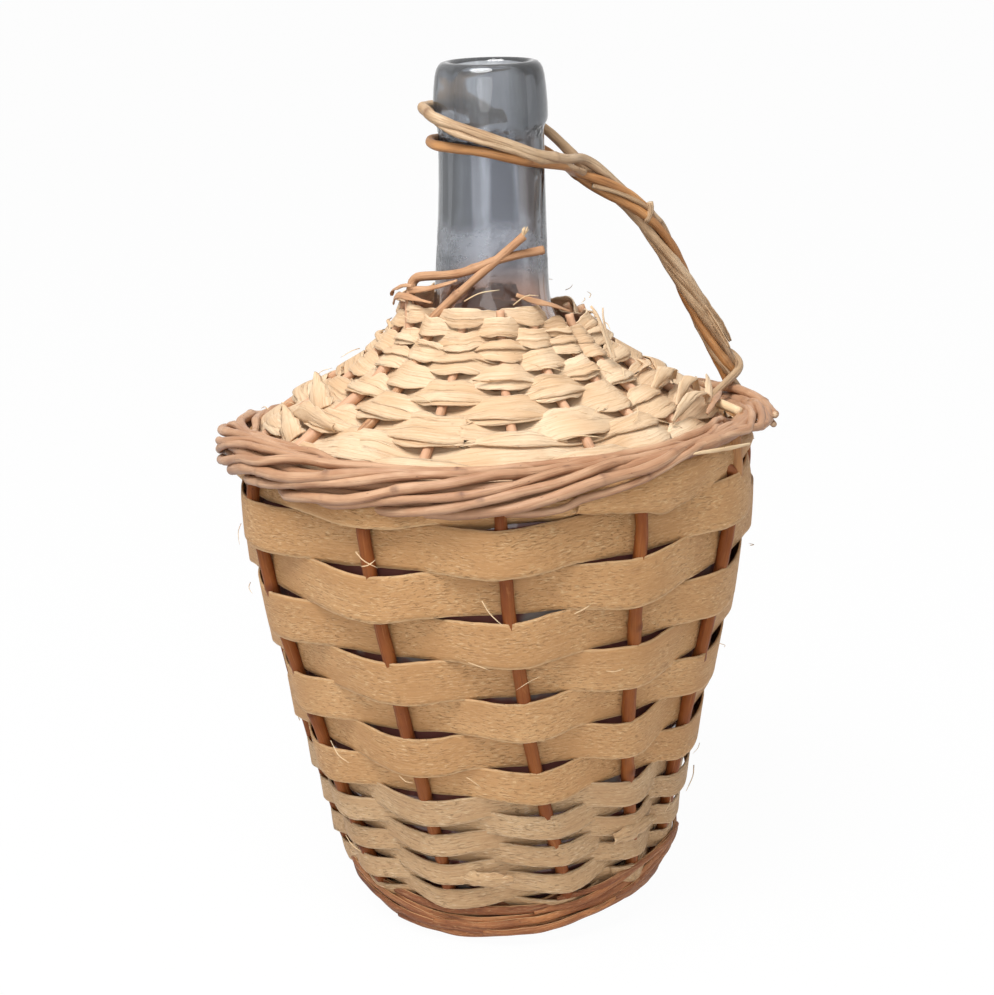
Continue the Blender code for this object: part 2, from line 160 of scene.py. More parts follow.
basket = {
    "radius": 0.1127, "height": 0.280, "basePlane": 0.0085,
    "baseShares": ((0.089, 0.0), (0.444, 0.0), (0.493, 0.0032), (0.546, 0.0138)),
    # radius and height of the middle of the woven wall, as shares of the basket's
    "wallShares": (
        (0.645, 0.081), (0.720, 0.179), (0.796, 0.286), (0.863, 0.393), (0.932, 0.500), (0.985, 0.607),
        (1.011, 0.693), (1.012, 0.732), (0.996, 0.760), (0.948, 0.780), (0.865, 0.806), (0.748, 0.837),
        (0.651, 0.860), (0.569, 0.880), (0.510, 0.898), (0.463, 0.914), (0.419, 0.930), (0.385, 0.947),
        (0.358, 0.966), (0.337, 1.000)),
    # degrees of the eleven stakes at the shoulder, a third and two thirds down and at the heel
    "stakeTurns": (
        (149, 116, 84, 51, 19, -15, -51.5, -82.3, -112.5, -141.7, -179),
        (152, 119, 86, 53, 20, -14, -55, -81.9, -109.7, -139.2, -176),
        (158, 124, 92, 58, 25, -8, -54.5, -77, -103.7, -136.2, -171.5),
        (166, 133, 101, 67, 34, 0, -43, -63, -92, -132.5, -165)),
    # degrees of the seventeen uprights of the cone, and which of them are the stakes
    "ribs": (166.6, 144, 122, 100, 78, 55, 33, 11, -11, -33, -55, -68, -88, -108, -131.5, -154, -171),
    "stakeRibs": (1, 2, 4, 5, 7, 9, 11, 12, 13, 14, 16),
    "sideLow": 0.0234, "sideTop": 0.2108, "coneLow": 0.1015, "rimHeight": 0.2139,
}

wallPoints = [(share * basket["radius"], basket["basePlane"] + rise * basket["radius"])
              for share, rise in basket["baseShares"]]
wallPoints += [(share * basket["radius"], rise * basket["height"]) for share, rise in basket["wallShares"]]
wallLine = smoothLine(wallPoints, 12)
wallLength = lineLengths(wallLine)
wallSlope = unit(np.gradient(wallLine, wallLength, axis=0))
wallEnd = wallLength[-1]


# radius and height at a length along the wall, pushed outward
def wallSpot(length, outward=0.0):
    radius, height, alongR, alongZ = (
        np.interp(length, wallLength, values) for values in (*wallLine.T, *wallSlope.T))
    size = np.hypot(alongR, alongZ)
    return radius + outward * alongZ / size, height - outward * alongR / size


onSide = wallLine[:, 1] > basket["basePlane"] + 0.0002
onCone = wallLine[:, 1] > basket["rimHeight"]


def lengthAtHeight(height):
    return np.interp(height, wallLine[onSide, 1], wallLength[onSide])


sideLow, sideTop = lengthAtHeight(basket["sideLow"]), lengthAtHeight(basket["sideTop"])
coneLow = np.interp(-basket["coneLow"], -wallLine[onCone, 0], wallLength[onCone])


# angle in degrees of an upright, which may lie between two, going clockwise turn after turn
def between(degrees, place):
    table, count = np.array(degrees, dtype=float), len(degrees)
    low = np.floor(place).astype(int)
    first, second = (table[number % count] - 360 * (number // count) for number in (low, low + 1))
    return first + (second - first) * (place - low)


# a stake's angle, on a curve through its four turns
def stakeAngle(place, length):
    share = np.clip((sideTop - length) / (sideTop - sideLow), 0, 1)
    total = 0
    for number, degrees in enumerate(basket["stakeTurns"]):
        weight = 1
        for other in {0, 1, 2, 3} - {number}:
            weight = weight * (3 * share - other) / (number - other)
        total = total + between(degrees, place) * weight
    return total


# a rib keeps its angle at every length
def ribAngle(place, length):
    return between(basket["ribs"], place)


# sockets are linked, and anything else becomes the input's value
def setInputs(node, wires):
    for key, value in wires.items():
        socket = node.inputs[key]
        if isinstance(value, bpy.types.NodeSocket):
            node.id_data.links.new(value, socket)
        elif socket.type == "RGBA":
            socket.default_value = (*value, 1.0)
        else:
            socket.default_value = value


def makeNode(tree, kind, wires, output=0, **settings):
    node = tree.nodes.new("ShaderNode" + kind)
    node.location = (180 * (len(tree.nodes) % 9), -260 * (len(tree.nodes) // 9))
    for key, value in settings.items():
        setattr(node, key, value)
    setInputs(node, wires)
    return node.outputs[output]


# the first value is a socket here, as it is for the helpers below, and its tree gets the node
def mathNode(operation, first, *others, clamp=False):
    return makeNode(first.id_data, "Math", dict(enumerate((first, *others))), operation=operation, use_clamp=clamp)


# a product, kept between 0 and 1
def masked(first, second):
    return mathNode("MULTIPLY", first, second, clamp=True)


# a sum of pairs of socket and weight
def weighted(start, *pairs):
    total = start
    for value, weight in pairs:
        total = mathNode("MULTIPLY_ADD", value, weight, total)
    return total


def noise(vector, scale, stretch=(1, 1, 1), detail=2.0, roughness=0.5, distortion=0.0):
    mapped = makeNode(vector.id_data, "Mapping", {"Vector": vector, "Scale": stretch})
    return makeNode(vector.id_data, "TexNoise", {"Vector": mapped, "Scale": scale, "Detail": detail,
                                                 "Roughness": roughness, "Distortion": distortion}, "Fac")


def ramp(value, low, high, start=0.0, end=1.0):
    return makeNode(value.id_data, "MapRange", {0: value, 1: low, 2: high, 3: start, 4: end},
                    interpolation_type="SMOOTHSTEP")


def mix(share, first, second):
    return makeNode(share.id_data, "Mix", {0: share, 6: first, 7: second}, 2, data_type="RGBA")


# colours laid over each other: mask, how strongly, colour
def layered(color, *layers):
    for mask, strength, over in layers:
        color = mix(masked(mask, strength), color, over)
    return color


# a node group with a vector, colours and plain numbers in, and the same three outputs each time
def newGroup(name, colors, numbers):
    group = bpy.data.node_groups.new(name, "ShaderNodeTree")
    for way, kind, labels in (("INPUT", "Vector", ("Along",)), ("INPUT", "Color", colors),
                              ("INPUT", "Float", numbers), ("OUTPUT", "Color", ("Color",)),
                              ("OUTPUT", "Float", ("Roughness", "Height"))):
        for label in labels:
            group.interface.new_socket(name=label, in_out=way, socket_type="NodeSocket" + kind)
    return group, group.nodes.new("NodeGroupInput").outputs, group.nodes.new("NodeGroupOutput")


# flat split willow: long fibres, short wavy checks, long splits, specks, pale edges that are partly the paler cut
# wood and partly a painted highlight
def buildSplitGrain():
    group, given, out = newGroup("splitWillowGrain", ("Light", "Deep", "Check", "Cut Edge And Highlight"),
                                 ("Edge", "Tone", "Checks", "Fibres", "Splits", "Edges"))
    along, light, deep, check, pale = (given[label] for label in ("Along", "Light", "Deep", "Check", "Cut Edge And Highlight"))
    patches = noise(along, 34, (1, 1.6, 1))
    clouds = noise(along, 110, (0.5, 1, 1), 3.0, 0.6)
    fibre = noise(along, 1150, (0.028, 1, 1), 4.0, 0.65)
    # the checks follow the grain in little waves
    sway = weighted(-0.0007, (noise(along, 300, detail=1.0), 0.0014))
    bent = makeNode(group, "VectorMath", {0: along, 1: makeNode(group, "CombineXYZ", {1: sway})}, operation="ADD")
    raw = noise(bent, 1700, (0.17, 1, 1), roughness=0.55)
    strength = mathNode("MULTIPLY", ramp(patches, 0.32, 0.60, 0.25, 1.0), given["Checks"])
    checks = masked(ramp(raw, 0.56, 0.70), strength)
    ridges = masked(ramp(raw, 0.46, 0.33), strength)
    splits = masked(ramp(noise(bent, 430, (0.05, 1, 1)), 0.63, 0.70), given["Splits"])
    bands = masked(ramp(noise(along, 330, (0.04, 1, 1)), 0.50, 0.72), given["Splits"])
    color = layered(mix(ramp(patches, 0.25, 0.75), deep, light),
        (given["Tone"], 0.7, deep),
        (ramp(clouds, 0.58, 0.80), 0.28, check),
        (masked(ramp(fibre, 0.50, 0.76), given["Fibres"]), 0.60, check),
        (bands, 0.45, deep),
        (masked(ramp(fibre, 0.48, 0.22), given["Fibres"]), 0.5, pale),
        (checks, 0.24, check),
        (ridges, 0.55, pale),
        (splits, 0.44, check),
        (ramp(noise(along, 560, (0.7, 1, 1), 1.0), 0.73, 0.79), 0.38, check),
        # pale edges: partly the paler cut wood, partly a painted highlight along both edges of the strip
        (ramp(given["Edge"], 0.90, 0.985), given["Edges"], pale))
    height = weighted(0.0, (fibre, given["Fibres"]), (checks, -1.2), (ridges, 0.5), (splits, -1.6), (clouds, 0.9))
    setInputs(out, {"Color": color, "Roughness": weighted(0.50, (fibre, 0.24)), "Height": height})
    return group


# round willow rod: skin with long wrinkles, knots with a dark ring, scuffs, pale cut ends, and painted shade on the
# faces turned downward
def buildRodSkin():
    group, given, out = newGroup("willowRodSkin", ("Light", "Deep", "Stain And Painted Shade", "Wood"),
                                 ("Knot", "Cut", "Tone", "Wrinkles", "Facing Up"))
    along, light, deep, darkBrown, wood = (given[label] for label in ("Along", "Light", "Deep", "Stain And Painted Shade", "Wood"))
    patches = noise(along, 42, (1, 2, 1), 3.0, 0.55)
    wrinkle = noise(along, 1500, (0.035, 1, 1), 3.0, 0.6)
    scuffs = noise(along, 260, (0.25, 1, 1), 3.0, 0.6)
    # painted shade: faces whose normal points downward are darkened to a dark brown, broken up by the scuffs
    under = weighted(-0.3, (given["Facing Up"], 1.0), (scuffs, 0.6))
    color = layered(mix(ramp(patches, 0.30, 0.70), deep, light),
        (given["Tone"], 0.6, deep),
        (masked(ramp(wrinkle, 0.52, 0.80), given["Wrinkles"]), 0.62, darkBrown),
        (masked(ramp(wrinkle, 0.46, 0.20), given["Wrinkles"]), 0.35, wood),
        (ramp(scuffs, 0.62, 0.80), 0.45, wood),
        (ramp(noise(along, 700, (0.5, 1, 1), 1.0), 0.72, 0.79), 0.6, darkBrown),
        # the painted shade on the undersides
        (ramp(under, -0.10, -0.85), 0.50, darkBrown),
        (given["Knot"], 0.8, darkBrown),
        (given["Cut"], 1.0, wood))
    setInputs(out, {"Color": color, "Roughness": weighted(0.36, (scuffs, 0.34)),
                    "Height": weighted(0.0, (wrinkle, given["Wrinkles"]), (patches, 0.6))})
    return group


def newMaterial(name):
    material = bpy.data.materials.new(name)
    material.use_nodes = True
    return material, material.node_tree, material.node_tree.nodes["Principled BSDF"]


def buildMaterial(name, group, labels, look):
    material, tree, shader = newMaterial(name)
    grain = tree.nodes.new("ShaderNodeGroup")
    grain.node_tree = group
    *values, bump, coat = look
    setInputs(grain, {"Along": makeNode(tree, "TexCoord", {}, "UV"), **dict(zip(labels, values))})
    for mask in ("Edge", "Knot", "Cut", "Tone"):
        if mask in grain.inputs:
            setInputs(grain, {mask: makeNode(tree, "Attribute", {}, "Fac", attribute_name=mask.lower())})
    # the upward part of the object's normal, which the rod skin uses to paint shade on undersides
    if "Facing Up" in grain.inputs:
        normal = makeNode(tree, "TexCoord", {}, "Normal")
        setInputs(grain, {"Facing Up": makeNode(tree, "SeparateXYZ", {0: normal}, 2)})
    dented = makeNode(tree, "Bump", {"Height": grain.outputs["Height"], "Strength": 1.0, "Distance": bump})
    setInputs(shader, {"Base Color": grain.outputs["Color"], "Roughness": grain.outputs["Roughness"],
                       "Normal": dented, "Specular IOR Level": coat})
    return material


# four colours, then how strong each mark is, bump in metres and coat
splitLabels = ("Light", "Deep", "Check", "Cut Edge And Highlight", "Checks", "Fibres", "Splits", "Edges")
splitLooks = {
    "wideSplint": ((0.62, 0.352, 0.155), (0.46, 0.242, 0.096), (0.22, 0.095, 0.036), (0.80, 0.58, 0.34),
                   1.0, 0.45, 0.0, 0.35, 0.00032, 0.3),
    "narrowSplint": ((0.60, 0.395, 0.215), (0.46, 0.275, 0.135), (0.20, 0.10, 0.045), (0.78, 0.61, 0.40),
                     1.1, 0.7, 0.15, 0.35, 0.00032, 0.3),
    "coneStrip": ((0.85, 0.670, 0.465), (0.64, 0.420, 0.240), (0.38, 0.190, 0.085), (0.92, 0.78, 0.57),
                  0.30, 1.15, 0.6, 0.3, 0.00040, 0.3),
    "footBark": ((0.50, 0.200, 0.068), (0.21, 0.064, 0.020), (0.07, 0.022, 0.010), (0.66, 0.38, 0.18),
                 0.6, 1.2, 1.0, 0.9, 0.00038, 0.4),
}
rodLabels = ("Light", "Deep", "Stain And Painted Shade", "Wood", "Wrinkles")
rodLooks = {
    "stakeRod": ((0.31, 0.100, 0.021), (0.20, 0.052, 0.012), (0.08, 0.020, 0.008), (0.52, 0.25, 0.09),
                 0.9, 0.00024, 0.2),
    "coneRib": ((0.72, 0.44, 0.27), (0.54, 0.29, 0.165), (0.26, 0.10, 0.045), (0.84, 0.62, 0.40),
                0.6, 0.00022, 0.4),
    "rimRod": ((0.62, 0.385, 0.235), (0.39, 0.195, 0.100), (0.11, 0.040, 0.022), (0.80, 0.59, 0.39),
               0.9, 0.00030, 0.4),
    "handleRod": ((0.67, 0.49, 0.315), (0.43, 0.27, 0.145), (0.13, 0.055, 0.024), (0.84, 0.67, 0.46),
                  2.0, 0.00036, 0.4),
    "handleBark": ((0.56, 0.28, 0.105), (0.34, 0.145, 0.045), (0.11, 0.040, 0.016), (0.72, 0.47, 0.25),
                   1.1, 0.00030, 0.45),
    "splitWood": ((0.86, 0.68, 0.44), (0.74, 0.52, 0.30), (0.40, 0.20, 0.09), (0.88, 0.72, 0.50),
                  1.0, 0.00020, 0.3),
    "weatheredTip": ((0.66, 0.40, 0.235), (0.44, 0.215, 0.100), (0.14, 0.050, 0.022), (0.84, 0.65, 0.44),
                     1.4, 0.00034, 0.3),
}
splitGrain, rodSkin = buildSplitGrain(), buildRodSkin()
finishes = {name: buildMaterial(name, splitGrain, splitLabels, look) for name, look in splitLooks.items()}
finishes |= {name: buildMaterial(name, rodSkin, rodLabels, look) for name, look in rodLooks.items()}
print("willow finishes ready")


bottle = {
    "sides": 160,
    "tint": (0.74, 0.765, 0.81), "shade": (0.40, 0.415, 0.455), "dust": (0.93, 0.95, 1.0),
    "collarTint": (0.84, 0.865, 0.895), "collarShade": (0.60, 0.615, 0.64), "paintedEdgeShade": (0.16, 0.17, 0.185),
    # the first two colours on the next line are painted: shade for the sides of the neck and collar, and a thin
    # reflection of the handle
    "paintedSideShade": (0.24, 0.25, 0.26), "darkBrown": (0.20, 0.13, 0.10), "residue": (0.78, 0.58, 0.49),
    "sediment": (0.34, 0.135, 0.115), "film": (0.55, 0.50, 0.47),
    # what the glass takes away for each metre of it
    "darkening": 80.0, "depthTint": (0.42, 0.44, 0.48), "clear": 0.93, "bodyClear": 0.30, "bodyBelow": 0.2700,
    # radius and height in mm, from the lip down the outside to the middle of the underside, and in the mouth
    "lip": ((19.3, 380), (20.7, 379.6), (21.9, 378.5), (22.8, 376.9), (23.5, 374.5), (24.2, 369), (24.7, 362),
            (24.8, 356.5), (24.5, 354.8), (23.6, 353.2), (23.1, 351.8), (22.9, 349.5)),
    "neck": ((23, 344), (23, 338), (23.2, 328), (23.6, 315), (24.1, 302), (24.7, 290), (25.3, 281), (26.3, 274),
             (28.5, 269), (33, 264.2), (39, 259.3), (45.1, 254.7), (54.9, 248.2), (69.4, 238.4), (83.9, 229.8),
             (96, 221.3), (103, 215)),
    "underside": ((64.7, 17.7), (60, 15.2), (52.9, 13.6), (48, 13.3), (37, 13.9), (27, 17.5), (18, 21.3),
                  (8, 22.8), (0.4, 23.3)),
    "mouth": ((18.4, 380), (17.3, 379.4), (16.5, 377.8), (16.5, 356)),
    # the side keeps this far inside the wall of the basket; the glass is thicker in the neck and the bottom
    "seat": 0.0050, "sideTop": 0.2040, "sideLow": 0.0270,
    "wall": 0.0030, "neckWall": 0.0040, "neckRows": 8, "bottomWall": 0.0046, "bottomBelow": 0.0250,
    # the neck leans a little, to these degrees from the handle
    "lean": 0.0016, "leanDegrees": -23, "leanBetween": (0.262, 0.335),
    # ripples round it: how many, how strong, where they start, and one that winds as it climbs
    "ripples": ((5, 0.5, 0.7), (9, 0.35, 2.1), (14, 0.2, 4.0)), "windingRipple": (3, 0.6, 40),
    "neckRipple": 0.00034, "bodyRipple": 0.0001, "rippleBetween": (0.03, 0.376),
    "boreRadius": 0.0212, "boreAbove": 0.275,
    # heights between which each mark comes on, and goes again
    "collarFrom": (0.346, 0.356), "crinkles": ((0.3470, 0.3495), (0.3550, 0.3525)), "handleReflectionFrom": (0.290, 0.302),
    "dustBand": ((0.284, 0.297), (0.318, 0.304)), "residueFrom": (0.294, 0.280),
    # the same across the neck, along this axis
    # limits across the neck of the painted reflection of the handle
    "sidewaysAxis": (0.92, -0.39, 0), "handleReflectionBand": ((0.0150, 0.0172), (0.0212, 0.0190)),
    # limits of the painted shade on the sides of the neck and the collar
    "collarPaintedShade": (0.006, 0.022), "leftPaintedShade": (-0.004, -0.019), "rightPaintedShade": (0.012, 0.024),
}


def glassProfile():
    lip, neck, underside, mouth = (np.array(bottle[key]) * mm for key in ("lip", "neck", "underside", "mouth"))
    sideLengths = np.linspace(lengthAtHeight(bottle["sideTop"]), lengthAtHeight(bottle["sideLow"]), 22)
    side = zip(*wallSpot(sideLengths, -bottle["seat"]))
    line = np.array([*lip, *neck, *side, *underside])
    slope = unit(np.gradient(line, axis=0))
    inside = []
    for number in range(len(lip) + 1, len(line)):
        thick = bottle["neckWall"] if number < len(lip) + bottle["neckRows"] else bottle["wall"]
        if line[number][1] < bottle["bottomBelow"]:
            thick = bottle["bottomWall"]
        spot = line[number] + np.array((slope[number][1], -slope[number][0])) * thick
        inside.append((max(spot[0], underside[-1][0]), spot[1]))
    return [*line[::-1], *mouth, *inside]


# rings are extruded one after the other and pulled to the profile, as on a lathe
def turnBottle():
    profile = glassProfile()
    bpy.ops.object.select_all(action="DESELECT")
    bpy.ops.mesh.primitive_circle_add(
        vertices=bottle["sides"], radius=profile[0][0], location=(0, 0, profile[0][1]), fill_type="NGON")
    glass = bpy.context.object
    glass.name = glass.data.name = "clearBottle"
    bpy.ops.object.transform_apply(location=True, rotation=True, scale=True)
    bpy.ops.object.mode_set(mode="EDIT")
    bpy.ops.mesh.select_all(action="SELECT")
    bpy.ops.mesh.inset(thickness=profile[0][0] * 0.5)
    bpy.ops.mesh.select_all(action="INVERT")
    bpy.ops.mesh.select_mode(type="EDGE")
    bpy.ops.mesh.select_all(action="DESELECT")
    bpy.ops.mesh.select_non_manifold()
    for (radius, height), (nextRadius, nextHeight) in zip(profile, profile[1:]):
        bpy.ops.mesh.extrude_edges_move()
        share = nextRadius / radius
        bpy.ops.transform.resize(value=(share, share, 1), center_override=(0, 0, 0))
        bpy.ops.transform.translate(value=(0, 0, nextHeight - height))
    bpy.ops.mesh.edge_face_add()
    leaveFacingOut()
    # blown glass is never even: slow ripples, strongest round the inside of the neck
    spots = readRows(glass.data.vertices, "co")
    radius, level = np.hypot(spots[:, 0], spots[:, 1]), spots[:, 2]
    angle = np.arctan2(spots[:, 1], spots[:, 0])
    *winding, climb = bottle["windingRipple"]
    ripple = sum(size * np.sin(count * angle + phase) for count, size, phase in (
        *bottle["ripples"], (*winding, climb * level)))
    low, high = bottle["rippleBetween"]
    inNeck = (radius < bottle["boreRadius"]) & (level > bottle["boreAbove"])
    amount = np.where(inNeck, bottle["neckRipple"], bottle["bodyRipple"]) * (level > low) * (level < high)
    spots[:, :2] *= (1 + amount * ripple / np.maximum(radius, 0.01))[:, None]
    leaned = bottle["lean"] * ease(level, *bottle["leanBetween"])
    glass.data.vertices.foreach_set("co", (spots + polar(leaned, 0, bottle["leanDegrees"])).ravel())
    glass.data.update()
    return glass


# the neck, and the body with sediment on the inside of the glass
def buildGlass(name, clear, isBody):
    material, tree, shader = newMaterial(name)
    place = makeNode(tree, "TexCoord", {}, "Object")
    height = makeNode(tree, "SeparateXYZ", {0: place}, 2)
    sideways = makeNode(tree, "VectorMath", {0: place, 1: bottle["sidewaysAxis"]}, "Value",
                        operation="DOT_PRODUCT")

    # on from one pair of limits to the other
    def band(value, rising, falling):
        return mathNode("MULTIPLY", ramp(value, *rising), ramp(value, *falling))

    streaky = ramp(noise(place, 110, (1, 1, 0.07), distortion=0.3), 0.42, 0.58)
    # painted reflection of the handle: a thin dark brown line down one side of the neck
    line = masked(band(sideways, *bottle["handleReflectionBand"]), ramp(height, *bottle["handleReflectionFrom"]))
    blotch = noise(place, 70, (1, 1, 1.4), 3.0, 0.6)
    dusty = masked(band(height, *bottle["dustBand"]), ramp(blotch, 0.36, 0.60))
    # painted shade: the neck darker towards both its sides, the collar towards one side
    collar = layered(mix(streaky, bottle["collarShade"], bottle["collarTint"]),
                     (ramp(sideways, *bottle["collarPaintedShade"]), 0.9, bottle["paintedSideShade"]))
    color = layered(mix(streaky, bottle["shade"], bottle["tint"]),
        (ramp(sideways, *bottle["leftPaintedShade"]), 0.9, bottle["paintedSideShade"]),
        (ramp(sideways, *bottle["rightPaintedShade"]), 0.85, bottle["paintedSideShade"]),
        # the painted reflection of the handle
        (line, 0.75, bottle["darkBrown"]),
        (ramp(height, *bottle["collarFrom"]), 1.0, collar),
        (dusty, 0.85, bottle["dust"]),
        (ramp(height, *bottle["residueFrom"]), 1.0, bottle["residue"]))
    if isBody:
        # a film with paler spots
        color = mix(ramp(noise(place, 38), 0.58, 0.66), bottle["sediment"], bottle["film"])
    # painted shade: the glass darkened where its surface turns away from the view
    facing = makeNode(tree, "LayerWeight", {0: 0.5}, "Facing")
    color = layered(color, (ramp(facing, 0.45, 0.95), 0.82, bottle["paintedEdgeShade"]))
    smears = noise(place, 160, (1, 1, 0.35), 3.0, 0.6)
    rough = weighted(ramp(smears, 0.45, 0.75, 0.03, 0.14), (dusty, 0.30))
    dents = noise(place, 60, (1, 1, 0.25), 1.0, 0.4)
    drops = masked(ramp(noise(place, 620, (1, 1, 0.8), 1.0), 0.60, 0.72), dusty)
    # crinkled glass where the collar meets the neck
    beads = masked(noise(place, 330, (1, 1, 1.6), 1.0), band(height, *bottle["crinkles"]))
    bump = makeNode(tree, "Bump", {"Height": weighted(dents, (drops, 0.35), (beads, 1.3)),
                                   "Strength": 0.5, "Distance": 0.0012})
    setInputs(shader, {"Base Color": color, "Roughness": rough, "Normal": bump, "IOR": 1.5,
                       "Transmission Weight": clear})
    depth = makeNode(tree, "VolumeAbsorption", {"Color": bottle["depthTint"], "Density": bottle["darkening"]})
    setInputs(tree.nodes["Material Output"], {"Volume": depth})
    return material


glassPiece = turnBottle()
finishPiece(glassPiece, buildGlass("neckGlass", bottle["clear"], False), ["glass_bottle"])
glassPiece.data.materials.append(buildGlass("bodyGlass", bottle["bodyClear"], True))
for face in glassPiece.data.polygons:
    face.material_index = int(face.center.z < bottle["bodyBelow"])
print("bottle turned:", len(glassPiece.data.polygons), "faces")


# points spaced evenly along a line, and their lengths
def evenPath(points, step):
    lengths = lineLengths(points)
    even = np.linspace(0, lengths[-1], max(int(lengths[-1] / step), 4) + 1)
    return np.stack([np.interp(even, lengths, column) for column in points.T], axis=-1), even


# two directions across a path, carried along it without a twist
def carriedFrames(path):
    tangent = unit(np.gradient(path, axis=0))
    start = np.array((0.0, 0.0, 1.0)) if abs(tangent[0][2]) < 0.8 else np.array((1.0, 0.0, 0.0))
    side = np.cross(tangent[0], start)
    sides = []
    for direction in tangent:
        side = side - direction * side.dot(direction)
        side = side / np.linalg.norm(side)
        sides.append(side)
    return np.array(sides), np.cross(tangent, sides)


rodStyle = {
    # how far a knot's swelling, its halo and its mark reach, and how much it swells
    "knotReach": (0.0017, 0.0008, 0.0014), "knotSwell": (0.05, 0.16),
    # pitch of the swelling along a rod and of its oval section, and how far the end rings close
    "swellPitch": 0.034, "ovalPitch": 0.05, "capShare": 0.04,
}


# a grid rolled into a tube along points; thickness holds (share of length, radius) pairs
def rollRod(name, points, thickness, seed, sides=14, step=0.0016, knotPitch=0.045, rough=0.05, tone=None):
    path, even = evenPath(np.asarray(points, dtype=float), step)
    sideways, upward = carriedFrames(path)
    last = len(path) + 1
    rod = addGrid(name, last, sides)
    dice = np.random.RandomState(seed)
    knots = np.arange(dice.uniform(0.2, 0.9) * knotPitch, even[-1], knotPitch)
    knots = knots + dice.uniform(-0.3, 0.3, len(knots)) * knotPitch
    turns = dice.uniform(0, fullTurn, len(knots))
    if tone is None:
        tone = dice.uniform(0, 1)
    radii = np.interp(even / even[-1], *zip(*thickness))

    def shape(along, around):
        # the first and last ring close the ends
        ring = np.round(along * last).astype(int)
        spot = np.clip(ring - 1, 0, len(path) - 1)
        capped = (ring == 0) | (ring == last)
        length, angle = even[spot], fullTurn * around
        swell = 1 + rough * wander(length, seed + 11, rodStyle["swellPitch"])
        swell = swell + rough * 0.6 * np.cos(2 * angle + 3 * wander(length, seed + 5, rodStyle["ovalPitch"]))
        knotMask = np.zeros_like(length)
        allRound, oneSide = rodStyle["knotSwell"]
        for knot, turn in zip(knots, turns):
            near, halo, mark = (np.exp(-((length - knot) / reach) ** 2) for reach in rodStyle["knotReach"])
            facing = 0.5 + 0.5 * np.cos(angle - turn)
            swell = swell + near * (allRound + oneSide * facing**2)
            knotMask = np.maximum(knotMask, np.maximum(halo * 0.5 * facing, mark * facing**8))
        radius = radii[spot] * swell * np.where(capped, rodStyle["capShare"], 1.0)
        spots = path[spot] + (sideways[spot] * (np.cos(angle) * radius)[:, None]
                              + upward[spot] * (np.sin(angle) * radius)[:, None])
        shift = seed * 0.137
        return spots, length + shift, angle * radii.mean() + shift, knotMask, capped * 1.0, tone

    bendGrid(rod, shape, ("knot", "cut", "tone"))
    pickOnly(rod)
    bpy.ops.object.mode_set(mode="EDIT")
    bpy.ops.mesh.select_all(action="SELECT")
    bpy.ops.mesh.remove_doubles(threshold=0.000002)
    bpy.ops.mesh.select_all(action="DESELECT")
    bpy.ops.mesh.select_non_manifold()
    bpy.ops.mesh.fill_holes(sides=0)
    leaveFacingOut()
    return rod


def addRod(name, points, thickness, seed, finish, slot, nodes=(), **more):
    return finishPiece(rollRod(name, points, thickness, seed, **more), finishes[finish], nodes)


uprights = {
    "radius": 0.0029, "coneRadius": 0.0022, "tipRadius": 0.0018, "startRadius": 0.0018, "wobble": 0.0006,
    # how far they run past the wall's line, where the broken ones turn off it and where the short ribs start
    "pastWall": 0.0012, "brokenBelow": 0.012, "ribTuck": 0.010,
    # where the bark is worn off, and where the wood is weathered
    "paleAbove": 0.2165, "paleWithin": 0.108, "weatheredAbove": 0.2795, "weatheredRib": 15,
    # how far each upright's end stays below the top of the cone, in mm, from the first rib round
    "cuts": (2, 3.5, 1, 3, 4, 2.5, 7, 10, 8.5, 9.5, 6.5, 6, 3.5, -1, 4, 2.5, 3),
    # the two long broken ends: degrees from the handle, radius, height
    "tips": {
        15: ((-153, 37, 276.2), (-85, 30.6, 308.8)),
        16: ((-180, 38.5, 280), (-184, 36.2, 286.8), (-183, 35, 288.8), (-178, 32.8, 290.2),
             (-142, 27.6, 293), (-104, 27.4, 299.2), (-66, 31, 301.6)),
    },
}


def uprightPath(number, rib, start):
    lengths = np.linspace(start, wallEnd + uprights["pastWall"], 180)
    radius, height = wallSpot(np.minimum(lengths, wallEnd))
    height = height + np.maximum(lengths - wallEnd, 0)
    angle = ribAngle(rib, lengths)
    if number is not None:
        # a stake goes over to its rib between the side and the cone
        sideAngle = stakeAngle(number, lengths)
        angle = sideAngle + (angle - sideAngle) * np.clip((lengths - sideTop) / (coneLow - sideTop), 0, 1)
    sway = uprights["wobble"] * wander(lengths, 300 + rib, 0.09) * np.clip((lengths - 0.05) / 0.03, 0, 1)
    path = polar(radius, height, angle + np.degrees(sway / radius))
    if rib not in uprights["tips"]:
        return path[lengths < wallEnd - uprights["cuts"][rib] * mm]
    keep = path[lengths < wallEnd - uprights["brokenBelow"]]
    return np.concatenate((keep[:-1], smoothLine([keep[-1], *ringPoints(uprights["tips"][rib])], 8)))


